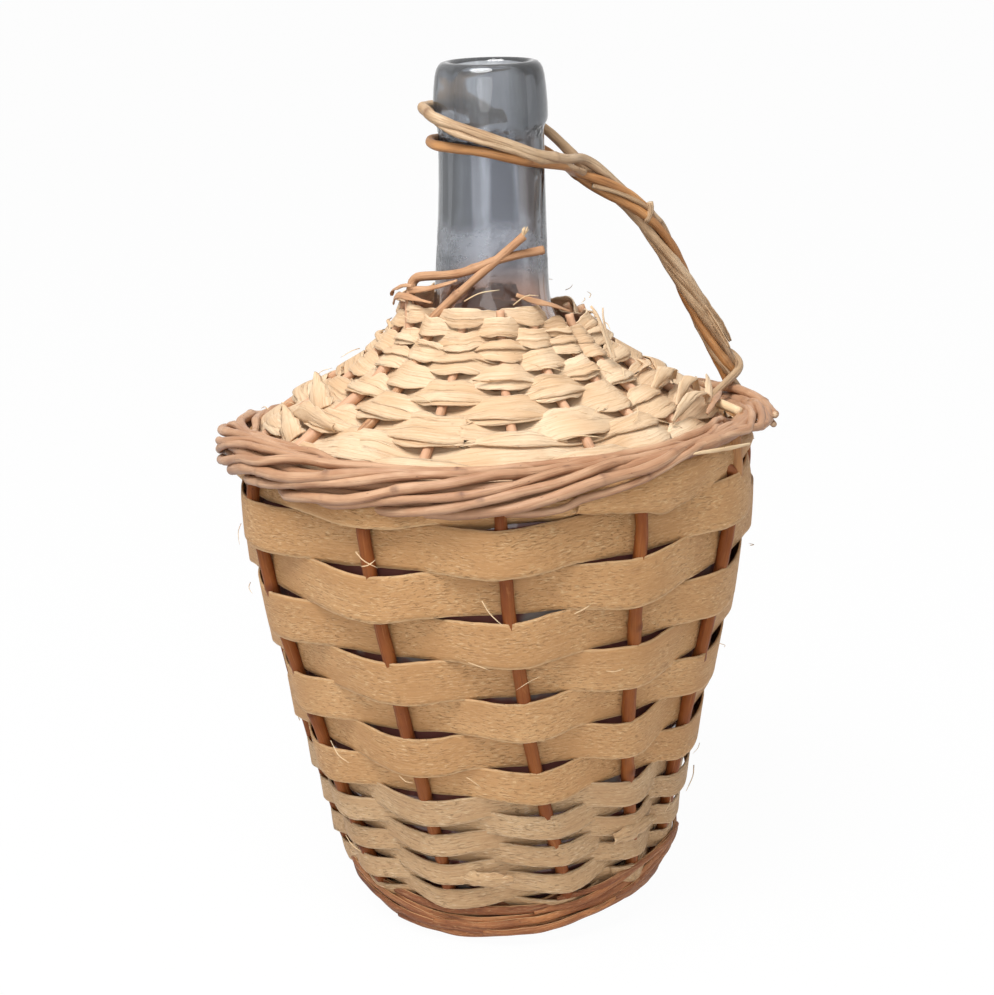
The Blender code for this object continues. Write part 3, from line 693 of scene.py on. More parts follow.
def buildUprights():
    full, cone, tip = uprights["radius"], uprights["coneRadius"], uprights["tipRadius"]
    for number, rib in enumerate(basket["stakeRibs"]):
        thickness = ((0, uprights["startRadius"]), (0.15, full), (0.68, full), (0.76, cone), (1, tip))
        rod = addRod(f"stake{number + 1:02d}", uprightPath(number, rib, 0.0), thickness, 40 + number, "stakeRod",
                     "stake_willow", [f"stake_{number + 1:02d}"], knotPitch=0.062, rough=0.04)
        # the bark is worn off on the cone, so that part is paler
        rod.data.materials.append(finishes["coneRib"])
        rod.data.materials.append(finishes["weatheredTip"])
        centres = readRows(rod.data.polygons, "center")
        pale = (centres[:, 2] > uprights["paleAbove"]) & (
            np.hypot(centres[:, 0], centres[:, 1]) < uprights["paleWithin"])
        rod.data.polygons.foreach_set(
            "material_index", pale.astype(np.int32) + (centres[:, 2] > uprights["weatheredAbove"]))
        rod.data.update()
    extra = [rib for rib in range(len(basket["ribs"])) if rib not in basket["stakeRibs"]]
    for number, rib in enumerate(extra):
        finish = "weatheredTip" if rib == uprights["weatheredRib"] else "coneRib"
        path = uprightPath(None, rib, coneLow - uprights["ribTuck"])
        addRod(f"coneRib{number + 1}", path, ((0, cone), (1, tip)), 60 + number, finish, "peeled_willow",
               [f"cone_rib_{number + 1}"], knotPitch=0.05)


buildUprights()
print("uprights set")


def sideCentre(level):
    return lengthAtHeight(atCourse(sideWeave, "heights", level))


def coneCentre(level):
    return wallEnd - atCourse(coneWeave, "lengths", level)


def baseCentre(level):
    return baseWeave["outerLength"] - atCourse(baseWeave, "lengths", level)


# a weave's table is read at a level, where 0 is its second row
def atCourse(weave, key, level):
    return np.interp(level, np.arange(len(weave[key])) - 1, weave[key]) * mm


# what a weave or one strip of it can change, in metres and shares
weaveStyle = {
    "crown": 0, "roll": 0, "edgeNoise": 0.0002, "pinch": 0, "twist": 0, "endFray": 0, "uneven": 0.045, "stray": 0,
    "share": 1, "shift": 0, "lift": 0, "topDrop": 0, "dropDegrees": 0, "wave": 0.0033, "thickness": 0.0009,
    "tilt": 0.0009, "chordPull": 0.0011,
    # how far the start is tucked under and the end lifts, and the slow drift of the course
    "startTuck": 0.0010, "endLift": 0.0006, "drift": 0.0004,
}
sideWeave = {
    # height of each course's middle at the front stake, from the top down, its width and how far it hangs
    "heights": (237, 217.5, 198.3, 178, 157.6, 138.3, 120.6, 102.8, 87.2, 74.2, 65.6,
                57.2, 49.6, 42, 34.8, 27.8, 20.8, 14),
    "widths": (20.5, 20.5, 20.5, 20.2, 20.2, 19.4, 18.6, 17.6, 16.2, 12.2, 11.2,
               10.7, 10.4, 9.8, 9.3, 9.2, 9, 8.8),
    "sags": (2.2, 2.2, 2.2, 2.2, 2.2, 2.2, 2.2, 2.1, 2.1, 2.4, 2.6, 2.6, 2.6, 2.5, 2.4, 2.3, 2.1, 1.8),
    "frontUpright": 8, "start": -0.27, "wideEnd": 7.62, "end": 16.05,
    "uprights": 11, "centreOf": sideCentre, "angleOf": stakeAngle, "outSign": -1,
}
coneWeave = {
    # length from the cone's top to each course's middle at the front rib, and the same two
    "lengths": (-2, 3, 8, 13.3, 18.8, 25, 32, 40.5, 50.2, 61.3, 73.5, 86.2, 98.5, 109),
    "widths": (7.8, 8.4, 9, 9.6, 10.4, 11.6, 13.2, 15.4, 17.6, 19.4, 20.2, 19.6, 17.2, 15.6),
    "sags": (0.6, 0.8, 1, 1.1, 1.2, 1.3, 1.4, 1.6, 1.8, 1.9, 1.9, 1.7, 1.2, 1),
    "frontUpright": 13, "start": -0.10, "end": 10.75,
    "uprights": 17, "centreOf": coneCentre, "angleOf": ribAngle, "outSign": 1,
    "wave": 0.0023, "thickness": 0.0006, "tilt": 0.0005, "chordPull": 0.0004,
    "crown": 0.0003, "roll": 0.0006, "pinch": 0.32, "twist": 0.0030, "edgeNoise": 0.00018, "uneven": 0.10,
    "stray": 0.0008, "endFray": 0.3,
    # the top sags at the right: how far, and which way in degrees from the handle
    "topDrop": 0.0065, "dropDegrees": -15,
    # split pieces that lie on the strips: level where each starts, its length in turns, shift across in mm
    "slivers": ((0.15, 0.3, 1.8), (0.72, 0.22, -1.62), (1.3, 0.42, 1.44), (2.05, 0.25, -1.98),
                (2.62, 0.5, 2.16), (3.35, 0.3, -1.8), (3.95, 0.36, 2.7), (4.6, 0.42, -2.34), (5.25, 0.3, 3.06),
                (5.75, 0.52, -2.7), (6.45, 0.34, 3.6), (6.95, 0.46, -3.24), (7.55, 0.36, 3.96), (8, 0.5, -3.6),
                (8.7, 0.34, 3.6), (9.2, 0.5, -3.96), (9.85, 0.3, 3.6), (10.3, 0.4, -3.24)),
}
sliverStyle = {"crown": 0.0005, "pinch": 0.4, "twist": 0.008, "edgeNoise": 0.0001, "uneven": 0.15,
               "stray": 0.0006, "endFray": 0.5, "share": 0.40, "lift": 0.0011}
baseWeave = {
    "lengths": (-17, -9, -1, 6.8, 14.6, 22.4, 30.2, 36),
    "widths": (8,) * 8, "sags": (0.3,) * 8, "levels": (-1, 5.6), "outerLength": 0.0475,
    "frontUpright": 0, "uprights": 11, "centreOf": baseCentre, "angleOf": stakeAngle, "outSign": 1,
    "wave": 0.0031, "tilt": 0.0003, "chordPull": 0.0,
}


# one length of strip, from level to level, woven in and out of the uprights
def weaveStrip(name, weave, levels, seed, cellsPerPlace, cellsAcross, **changes):
    style = {**weaveStyle, **weave, **changes}
    around, front, angleOf = style["uprights"], style["frontUpright"], style["angleOf"]
    first, last = levels[0] * around + front, levels[1] * around + front
    strip = addGrid(name, int((last - first) * cellsPerPlace), cellsAcross)
    dice = np.random.RandomState(seed)
    count = int(last - first) + 4
    rolls, tones, leans = dice.uniform(-1, 1, count), dice.uniform(0, 1, count), dice.uniform(-1, 1, count)

    def shape(along, across):
        place = first + (last - first) * along
        level = (place - front) / around
        local, tone, lean = (np.interp(place - first, np.arange(count), values) for values in (rolls, tones, leans))
        out = style["outSign"] * np.cos(math.pi * place)
        side = across - 0.5
        width = atCourse(style, "widths", level) * (1 + style["uneven"] * wander(place, seed + 1, 2.3))
        # narrower where it dives behind its neighbours
        width = width * style["share"] * (1 - style["pinch"] * (1 - np.clip(1.5 * out, 0, 1)**0.75))
        if style["share"] < 1:
            width = width * ease(place, first, first + 0.7) * (1 - ease(place, last - 0.9, last) * 0.96)
        # the strip hangs where it lies outside, and stays level behind an upright
        hang = 0.3 + np.where(out > 0, 0.7, 0.2) * out**2 + 0.2 * lean * out
        centre = style["centreOf"](level) - atCourse(style, "sags", level) * hang
        centre = centre + style["drift"] * wander(place, seed + 2, 1.7)
        centre = centre + style["shift"] + style["stray"] * wander(place, seed + 7, 1.9)
        centre = centre - style["topDrop"] * (1 - ease(level, 0.4, 4.5)) * ease(
            np.cos(np.radians(angleOf(place, centre) - style["dropDegrees"])), 0.1, 1)
        length = centre + side * width + style["edgeNoise"] * (
            wander(place, seed + 3, 0.41) * (side > 0.3) + wander(place, seed + 4, 0.37) * (side < -0.3))
        offset = style["wave"] * out * (1 + 0.08 * lean) + style["lift"] - style["chordPull"] * (1 - out**2)
        offset = offset - style["tilt"] * side * (1 + np.abs(out)) - style["roll"] * local * side * 2
        offset = offset + style["crown"] * (1 - 4 * side**2) * np.clip(0.5 + out, 0, 1)
        offset = offset + style["twist"] * np.sin(fullTurn * side + 3 * wander(place, seed + 6, 2.9)) * width
        # the start lies under its neighbour, and the end lifts a little and frays
        offset = offset - style["startTuck"] * (1 - ease(place - first, 0.3, 1.4))
        offset = offset + style["endLift"] * ease(place, last - 0.9, last)
        frays = dice.uniform(0, 1, cellsAcross + 1)[np.round(across * cellsAcross).astype(int)] - 0.5
        place = place + style["endFray"] * frays * (along > 0.9999)
        radius, height = wallSpot(length, offset)
        metres = (place - first) * fullTurn / around * radius.mean()
        return (polar(radius, height, angleOf(place, length)), metres + seed * 0.41, side * width,
                np.abs(2 * side), tone)

    bendGrid(strip, shape, ("edge", "tone"))
    return thicken(strip, style["thickness"])


# a helix of strip in four lengths, each of which starts under the end of the one before
def weaveHelix(name, node, weave, low, high, firstOverlap, overlap, seed, cells):
    ends = np.linspace(low, high, 5)
    for number in range(4):
        start = ends[number] - (overlap if number else firstOverlap)
        strip = weaveStrip(f"{name}{number + 1}", weave, (start, ends[number + 1]), seed + 10 * number, *cells)
        finishPiece(strip, finishes[name], [f"{node}_{number + 1}"])


weaveHelix("wideSplint", "wide_splint", sideWeave, sideWeave["start"], sideWeave["wideEnd"], 0, 0.1, 100,
           (22, 10))
weaveHelix("narrowSplint", "narrow_splint", sideWeave, sideWeave["wideEnd"], sideWeave["end"], 0.1, 0.1, 150,
           (20, 8))
print("side woven")
weaveHelix("coneStrip", "cone_strip", coneWeave, coneWeave["start"], coneWeave["end"], 0, 0.08, 200,
           (18, 12))
for number, (level, turns, shift) in enumerate(coneWeave["slivers"]):
    sliver = weaveStrip(f"coneSliver{number + 1:02d}", coneWeave, (level, level + turns), 600 + 9 * number, 18, 5,
                        **sliverStyle, shift=shift * mm)
    finishPiece(sliver, finishes["coneStrip"])
print("cone woven")
baseStrip = weaveStrip("baseStrip", baseWeave, baseWeave["levels"], 260, 16, 6)
finishPiece(baseStrip, finishes["narrowSplint"], ["base_strip"])


# strips of bark round the heel. Each has keys along it: degrees from the handle, radius, height, width and lean
foot = {
    "radius": 0.075, "thickness": 0.0010, "bulge": 0.0009, "lowest": 0.0007, "tones": (1.2, 0.15, 0.75, 0.4),
    # drawn in near the floor, and lifted round one place: how far, degrees from the handle and spread
    "drawnIn": 0.0030, "lift": 0.0036, "liftDegrees": -64, "liftSpread": 34,
    "strips": (
        ((-208, 69.4, 12.4, 18, 20), (-100, 69.8, 12.4, 18, 20), (0, 69.4, 12.4, 18, 20),
         (152, 69.4, 12.4, 18, 20)),
        ((-208, 67.6, 4.6, 8.6, 33), (-140, 68, 4, 8.4, 32), (-60, 68.2, 4.6, 8.6, 30),
         (40, 67.6, 4.6, 8.6, 33), (150, 67.7, 4.4, 8.6, 33)),
        ((-206, 71.2, 13, 5, 20), (-176, 72.2, 11, 5, 22), (-150, 73.3, 8.8, 4.4, 26),
         (-120, 73.8, 7.4, 4.6, 26), (-85, 74.4, 7.8, 5, 24), (-40, 74.2, 8.5, 5.2, 22),
         (60, 73.5, 8, 5.5, 22), (152, 72.2, 11, 5, 22)),
        ((-206, 71.6, 18, 4.6, 15), (-165, 73.4, 14.6, 4.4, 18), (-130, 74.3, 12.2, 4.6, 20),
         (-100, 74.6, 12, 5, 18), (-60, 75.2, 13.8, 5.2, 16), (0, 74.8, 13.5, 5.5, 16),
         (80, 74.2, 13, 5.5, 16), (152, 72.6, 15.8, 5, 16)),
        ((-206, 72.2, 22.6, 4.2, 12), (-160, 74, 19, 4.2, 14), (-120, 74.8, 16.8, 4.8, 15),
         (-80, 75.4, 17.2, 5.2, 14), (-20, 75.6, 19, 5.5, 13), (80, 75, 18.5, 5.5, 13),
         (152, 73.2, 20.8, 5, 13)),
        # the fan that rises to the right of the front, and one on the left
        ((-140, 74.8, 9.8, 2.6, 22), (-112, 75.6, 10.8, 4.2, 20), (-88, 76.8, 13, 4.6, 17),
         (-62, 78.4, 18.2, 4.6, 15), (-42, 79.5, 23.6, 4, 14), (-22, 80.3, 27, 2.8, 14)),
        ((-158, 72.2, 5.2, 2.8, 30), (-128, 73, 5, 4.4, 28), (-100, 74.4, 6.8, 4.8, 24),
         (-76, 76.2, 9.4, 4.8, 20), (-56, 77.8, 13.4, 4.4, 17), (-34, 79, 17.8, 3.8, 15),
         (-12, 79.7, 20.5, 2.8, 14)),
        ((-104, 75.6, 15, 2.2, 16), (-86, 78, 17.6, 3.6, 15), (-68, 79.2, 22.2, 3.8, 14),
         (-52, 80.4, 27, 3.4, 13), (-36, 81.4, 30.5, 2.2, 13)),
        ((-96, 76, 19.6, 2, 14), (-78, 78.2, 21.6, 3.4, 14), (-60, 79.6, 25.6, 3.6, 13),
         (-44, 80.6, 30, 2.2, 12)),
        ((-122, 74.8, 6.2, 2.6, 24), (-104, 76.4, 7.4, 3.8, 22), (-88, 77.6, 9.2, 3.6, 20),
         (-74, 78.8, 11.8, 2, 18)),
        ((-84, 76.6, 10.8, 2.4, 20), (-66, 78.6, 14.2, 3.6, 16), (-46, 79.8, 20, 3.4, 14),
         (-28, 80.6, 24.2, 2.2, 13)),
        ((-206, 75.2, 26.2, 2.6, 12), (-188, 75.2, 21.2, 4, 13), (-168, 75.2, 16.6, 4.4, 16),
         (-148, 74.6, 12.2, 4, 20), (-128, 74.2, 9, 2.2, 22)),
        ((-196, 74.4, 15.8, 2.4, 14), (-174, 74.8, 13, 3.8, 18), (-152, 74.6, 9.6, 4, 22),
         (-126, 74.4, 7, 4, 24), (-102, 75, 7.4, 2, 24)),
        ((96, 74.8, 10.5, 3, 20), (118, 76.2, 13, 4.6, 17), (138, 76.6, 17.5, 4.8, 15),
         (156, 75.8, 23, 3.2, 14)),
        ((14, 74.5, 9.5, 3, 20), (38, 76.4, 12, 4.6, 17), (60, 78.2, 16.5, 4.4, 15),
         (84, 78.6, 21.5, 3, 14)),
    ),
}


def barkStrip(name, keys, seed, toneMiddle):
    start, end = keys[0][0], keys[-1][0]
    strip = addGrid(name, max(int((end - start) * 0.9), 40), 8)
    table = smoothLine(keys, 10) * (1, mm, mm, mm, 1)

    def shape(along, across):
        angle = start + (end - start) * along
        radius, height, width, lean = (np.interp(angle, table[:, 0], values) for values in table.T[1:])
        width = width * (1 + 0.10 * wander(angle, seed, 40))
        lean = np.radians(lean + 7 * wander(angle, seed + 4, 52))
        side = across - 0.5
        bulge = foot["bulge"] * (1 - 4 * side**2)
        radius = radius - foot["drawnIn"] * (1 - ease(height, 0.013, 0.034))
        height = height + foot["lift"] * np.exp(-((angle - foot["liftDegrees"]) / foot["liftSpread"]) ** 2)
        height = height + 0.0005 * wander(angle, seed + 1, 60) + side * width * np.cos(lean) - bulge * np.sin(lean)
        radius = radius + 0.0004 * wander(angle, seed + 2, 35) + side * width * np.sin(lean) + bulge
        metres = np.radians(angle) * foot["radius"]
        tone = np.clip(toneMiddle + 0.35 * wander(angle, seed + 3, 50), 0, 1.3)
        return (polar(radius, np.maximum(height, foot["lowest"]), angle), metres + seed * 0.3, side * width,
                np.abs(2 * side), tone)

    bendGrid(strip, shape, ("edge", "tone"))
    return thicken(strip, foot["thickness"])


for number, keys in enumerate(foot["strips"]):
    strip = barkStrip(f"footBark{number + 1}", keys, 301 + 10 * number, foot["tones"][number % 4])
    finishPiece(strip, finishes["footBark"], ["foot_ring", "heel_band"])
print("base and foot done")


rim = {
    "radius": 0.0021, "tipRadius": 0.0017,
    # a rod's way over the border: share climbed, radius and height in mm
    "climbs": (-0.25, 0, 0.12, 0.25, 0.41, 0.56, 0.70, 0.84, 1.0, 1.2, 1.4),
    "radii": (108.5, 115, 118.5, 121.4, 122.6, 122.2, 119.6, 115.5, 111, 105, 99),
    "heights": (210, 212, 212.6, 215, 219.5, 224, 227.2, 228.5, 227.8, 230, 233.5),
    # share climbed at so many degrees from where the rod comes out
    "turns": (-7, 0, 8, 20, 30, 40, 50, 60, 75, 100, 130),
    "rises": (-0.25, 0.02, 0.22, 0.38, 0.52, 0.64, 0.82, 0.98, 1.08, 1.18, 1.24),
    # the border sags at the back: degrees from the handle and drop in mm
    "sagDegrees": (-360, -345, -300, -260, -235, -215, -195, -175, -113, -53, -23, 0, 27, 60),
    "sagDrops": (0, 6, 12, 13, 12, 7.5, 3, 0, 0, -1, 0.5, 4, 9, 12),
    # on the right the lowest rods lie higher: degrees and the share climbed that none goes under
    "floorDegrees": (-114, -105, -97, -84, -75, -66, -55, -45, -35, -20, 0, 14),
    "floors": (-0.25, 0.06, 0.34, 0.48, 0.64, 0.74, 0.72, 0.65, 0.52, 0.34, 0.05, -0.25),
    "hiddenBelow": 0.13, "hiddenAfter": -100, "tuck": 0.0034,
    # rods are thinner where they crowd, between these degrees
    "crowded": 0.84, "crowdedBetween": (-115, -45), "clearance": 0.0060, "endDip": 0.0030,
    # front rods: where each comes out, how slowly it climbs, its length in degrees
    "front": ((-218, 1.0, 84), (-205, 1.0, 90), (-192, 1.1, 92), (-179, 1.0, 96), (-163, 1.0, 120),
              (-151, 1.0, 88), (-138, 1.0, 92), (-125, 1.05, 84), (-110, 1.43, 88)),
    # later ones are drawn between limits, apart from two on the right: how slowly, and length
    "slowOnes": {-96: (1.38, 79), -82: (1.29, 68)},
    "others": (-96, -82, -66, -52, -38, -24, -9, 6, 21, 36, 51, 66, 80, 94, 107, 119, 131),
    # radius, height and rise on the right of the rods inside, in mm
    "coreRadius": 0.0031, "coreSpan": (-215, 149),
    "core": ((116.2, 217.8, 8), (116, 222.6, 3.6), (112, 220.8, 4)),
}


def rimDrop(degrees):
    turned = (np.asarray(degrees, dtype=float) + 300) % 360 - 300
    return np.interp(turned, rim["sagDegrees"], rim["sagDrops"]) * mm


def rimFloor(degrees):
    return np.interp(degrees, rim["floorDegrees"], rim["floors"])


def rimPoint(climb, degrees, inward):
    climbed = smoothLine(list(zip(rim["climbs"], rim["radii"], rim["heights"])), 6) * (1, mm, mm)
    radius = np.interp(climb, climbed[:, 0], climbed[:, 1])
    height = np.interp(climb, climbed[:, 0], climbed[:, 2]) - rimDrop(degrees)
    # where the border hangs lower it has to lie outside the splints
    upper = wallLine[wallLine[:, 1] > 0.19]
    clear = np.interp(height, upper[:, 1], upper[:, 0]) + rim["clearance"]
    lowered = np.clip(rimDrop(degrees) / 0.006, 0, 1) * np.clip(climb * 4, 0, 1)
    radius = radius + np.maximum(clear - radius, 0) * lowered
    return polar(radius - inward, height, degrees)


def buildRim():
    nodes = ["rim_core_rod"] + [f"rim_rod_{number}" for number in range(1, 7)]
    rods = list(rim["front"])
    dice = np.random.RandomState(71)
    for start in rim["others"]:
        spot, slow, span = start + dice.uniform(-3, 3), dice.uniform(0.95, 1.15), dice.uniform(82, 98)
        rods.append((spot, *rim["slowOnes"].get(start, (slow, span))))
    rises = smoothLine(list(zip(rim["turns"], rim["rises"])), 6)
    for number, (start, slow, span) in enumerate(rods):
        seed = 400 + 7 * number
        turned = np.linspace(-7, span, 120)
        climb = np.interp(turned / slow, rises[:, 0], rises[:, 1])
        climb = climb + 0.05 * wander(turned, seed + 1, 70) * ease(turned, 0, 20)
        under = np.maximum(rimFloor(start + turned) - climb, 0)
        thick = rim["radius"] * (0.88 + 0.28 * ((number * 7) % 5) / 4)
        if rim["crowdedBetween"][0] < start < rim["crowdedBetween"][1]:
            thick *= rim["crowded"]
        points = rimPoint(climb + under, start + turned,
                          0.0004 - 0.0011 * wander(turned, seed + 2, 55) + 0.012 * under)
        # the end dips behind the next rods
        points[:, 2] -= rim["endDip"] * ease(turned, span - 9, span)
        # on the right a rod starts only where it comes up from under the others
        first = int(np.argmax(under < rim["hiddenBelow"])) if start > rim["hiddenAfter"] else 0
        if first:
            inward = rim["tuck"] * (1 - ease(turned, turned[first], turned[first] + 9))
            points[:, :2] *= (1 - inward / np.hypot(points[:, 0], points[:, 1]))[:, None]
        addRod(f"rimRod{number + 1:02d}", points[first:],
               ((0, rim["radius"] * 0.9), (0.1, thick), (0.6, thick * 0.93), (1, rim["tipRadius"])), seed,
               "rimRod", "peeled_willow", nodes if number == 0 else (), knotPitch=0.048, rough=0.06)
    degrees = np.linspace(*rim["coreSpan"], 260)
    drop = rimDrop(degrees)
    for number, (radius, height, rise) in enumerate(np.array(rim["core"]) * mm):
        wave = 0.0005 * wander(degrees, 480 + number, 70)
        raised = rise * np.clip(rimFloor(degrees) / 0.55, 0, 1)
        points = polar(radius + wave + 0.28 * drop - 0.6 * raised, height + wave - drop + raised, degrees)
        # tone 1.0 gives the inner rods the darkest colour: painted shade in the gaps between the border's rods
        addRod(f"rimCore{number + 1}", points, ((0, rim["coreRadius"]), (1, rim["coreRadius"])), 490 + number,
               "rimRod", "peeled_willow", knotPitch=0.07, rough=0.08, sides=10, step=0.003, tone=1.0)


buildRim()
print("border laid")


handle = {
    # axis in the plane of the handle: radius and height
    "axis": ((123.8, 220), (120.6, 228), (113.3, 242.5), (104.4, 259.2), (93.6, 278.8),
             (82.8, 297), (72.9, 310), (60.6, 320), (48.4, 328), (42.5, 332.5)),
    "twists": 1.25, "swing": 0.0030, "topSwing": 0.0016,
    # rods round the neck, from the far side of the handle round to the near side: degrees, radius, height
    "upperLoop": ((20, 34.5, 348), (48, 28.2, 353.5), (80, 26.8, 356.8), (120, 26.9, 360),
                  (160, 27.2, 361.3), (182, 27.8, 360.3), (193, 27.6, 358.2), (214, 27.1, 355.8),
                  (241, 26.5, 351.5), (266, 26.3, 347.2), (298, 27.5, 341.6), (330, 33.5, 337.8)),
    "lowerLoop": ((20, 32.5, 339.5), (46, 26.6, 342), (75, 24.6, 343.7), (110, 24.4, 345.5),
                  (150, 24.6, 346.6), (188, 24.8, 346), (240, 25.2, 344.5), (267, 25.8, 341.5),
                  (303, 27.2, 337.8), (332, 33.5, 334.5)),
    "upperRadius": 0.0023, "lowerRadius": 0.0021,
    # the loop's bark has split away below it: degrees, radius, height
    "splitLoop": ((196, 28.2, 355.6), (214, 28.4, 353), (241, 28, 349), (266, 27.6, 345),
                  (298, 28.2, 339.4), (326, 32.5, 336.2), (345, 42, 330.5)),
    # short pieces at the handle's foot: finish, radius, then points
    "footRods": (
        ("handleRod", 2.1, ((113, 5, 242.5), (118, 5.8, 240.2), (122.6, 4, 237.8),
            (123.4, -1, 235), (120.6, -6, 232.8), (114, -10.5, 230.2), (104, -17, 227.2), (97.5, -21.2, 225))),
        ("handleBark", 3.4, ((73.3, -85.8, 203), (74, -86.6, 215), (73.4, -86, 225.8))),
        ("splitWood", 2.2, ((85, -44, 229.6), (86.2, -53, 230), (88, -65, 229.2))),
        ("rimRod", 1.9, ((123, -18, 220), (120.5, -32, 221.2), (111, -56, 223.2))),
        ("rimRod", 1.7, ((125, -8, 219.2), (122.5, -24, 217.5), (115, -48, 216.5))),
        ("handleRod", 1.5, ((74.2, -4, 305), (75.8, -4.6, 308.5), (76.2, -5, 311.2), (75.7, -5.2, 314))),
    ),
}


def buildHandle():
    axis = smoothLine(handle["axis"], 10) * mm
    lengths = lineLengths(axis)
    slope = unit(np.gradient(axis, lengths, axis=0))

    # one strand of the twist, starting so many quarters of a turn round it
    def leg(quarter, wide=1.0, high=1.0):
        share = np.linspace(0, high, 80)
        x, z, dx, dz = (np.interp(share * lengths[-1], lengths, values) for values in (*axis.T, *slope.T))
        angle = fullTurn * (quarter / 4 - 0.125 + handle["twists"] * (share - 1.0))
        swing = (handle["swing"] + handle["topSwing"] * ease(share, 0.78, 1)) * wide
        swing = swing * (1 + 0.12 * wander(share, 530 + int(quarter * 4), 0.5))
        up = swing * np.sin(angle)
        return np.stack((x + dz * up, swing * np.cos(angle), z - dx * up), axis=-1)

    def joined(first, loop, last):
        return smoothLine([*first[::8], *ringPoints(loop), *last[::-8]], 8)

    def bind(name, points, thickness, seed, finish, nodes=(), **more):
        addRod(name, points, thickness, seed, finish, "handle_willow", nodes, **more)

    upper, lower = handle["upperRadius"], handle["lowerRadius"]
    bind("handleRodUpper", joined(leg(1), handle["upperLoop"], leg(2)), ((0, upper), (1, upper)), 501,
         "handleRod", ["handle_rod_upper"], knotPitch=0.07, rough=0.07, tone=0.3)
    bind("handleRodLower", joined(leg(0), handle["lowerLoop"], leg(3)), ((0, lower), (1, lower)), 502,
         "handleBark", ["handle_rod_lower"], knotPitch=0.07, rough=0.07, tone=0.2)
    bind("handleSplit", smoothLine(ringPoints(handle["splitLoop"]), 10), ((0, 0.0005), (0.15, 0.0013), (1, 0.0014)),
         505, "handleRod", knotPitch=0.08, rough=0.12)
    for number, (finish, radius, points) in enumerate(handle["footRods"]):
        bind(f"handleEnd{number + 1}", smoothLine(points, 8) * mm, ((0, radius * mm), (1, radius * 0.9 * mm)),
             510 + number, finish, knotPitch=0.03, rough=0.07)
    # a thinner rod in the groove between them, broken off half way up, and one from the other side
    for name, quarter, high, radius, seed in (("handleFiller1", 1.5, 0.70, 0.0017, 503),
                                              ("handleFiller2", 3.4, 0.93, 0.0015, 504)):
        bind(name, leg(quarter, 1.25, high), ((0, radius), (1, radius * 0.8)), seed, "handleRod", knotPitch=0.06,
             rough=0.1)


buildHandle()
print("handle bound")


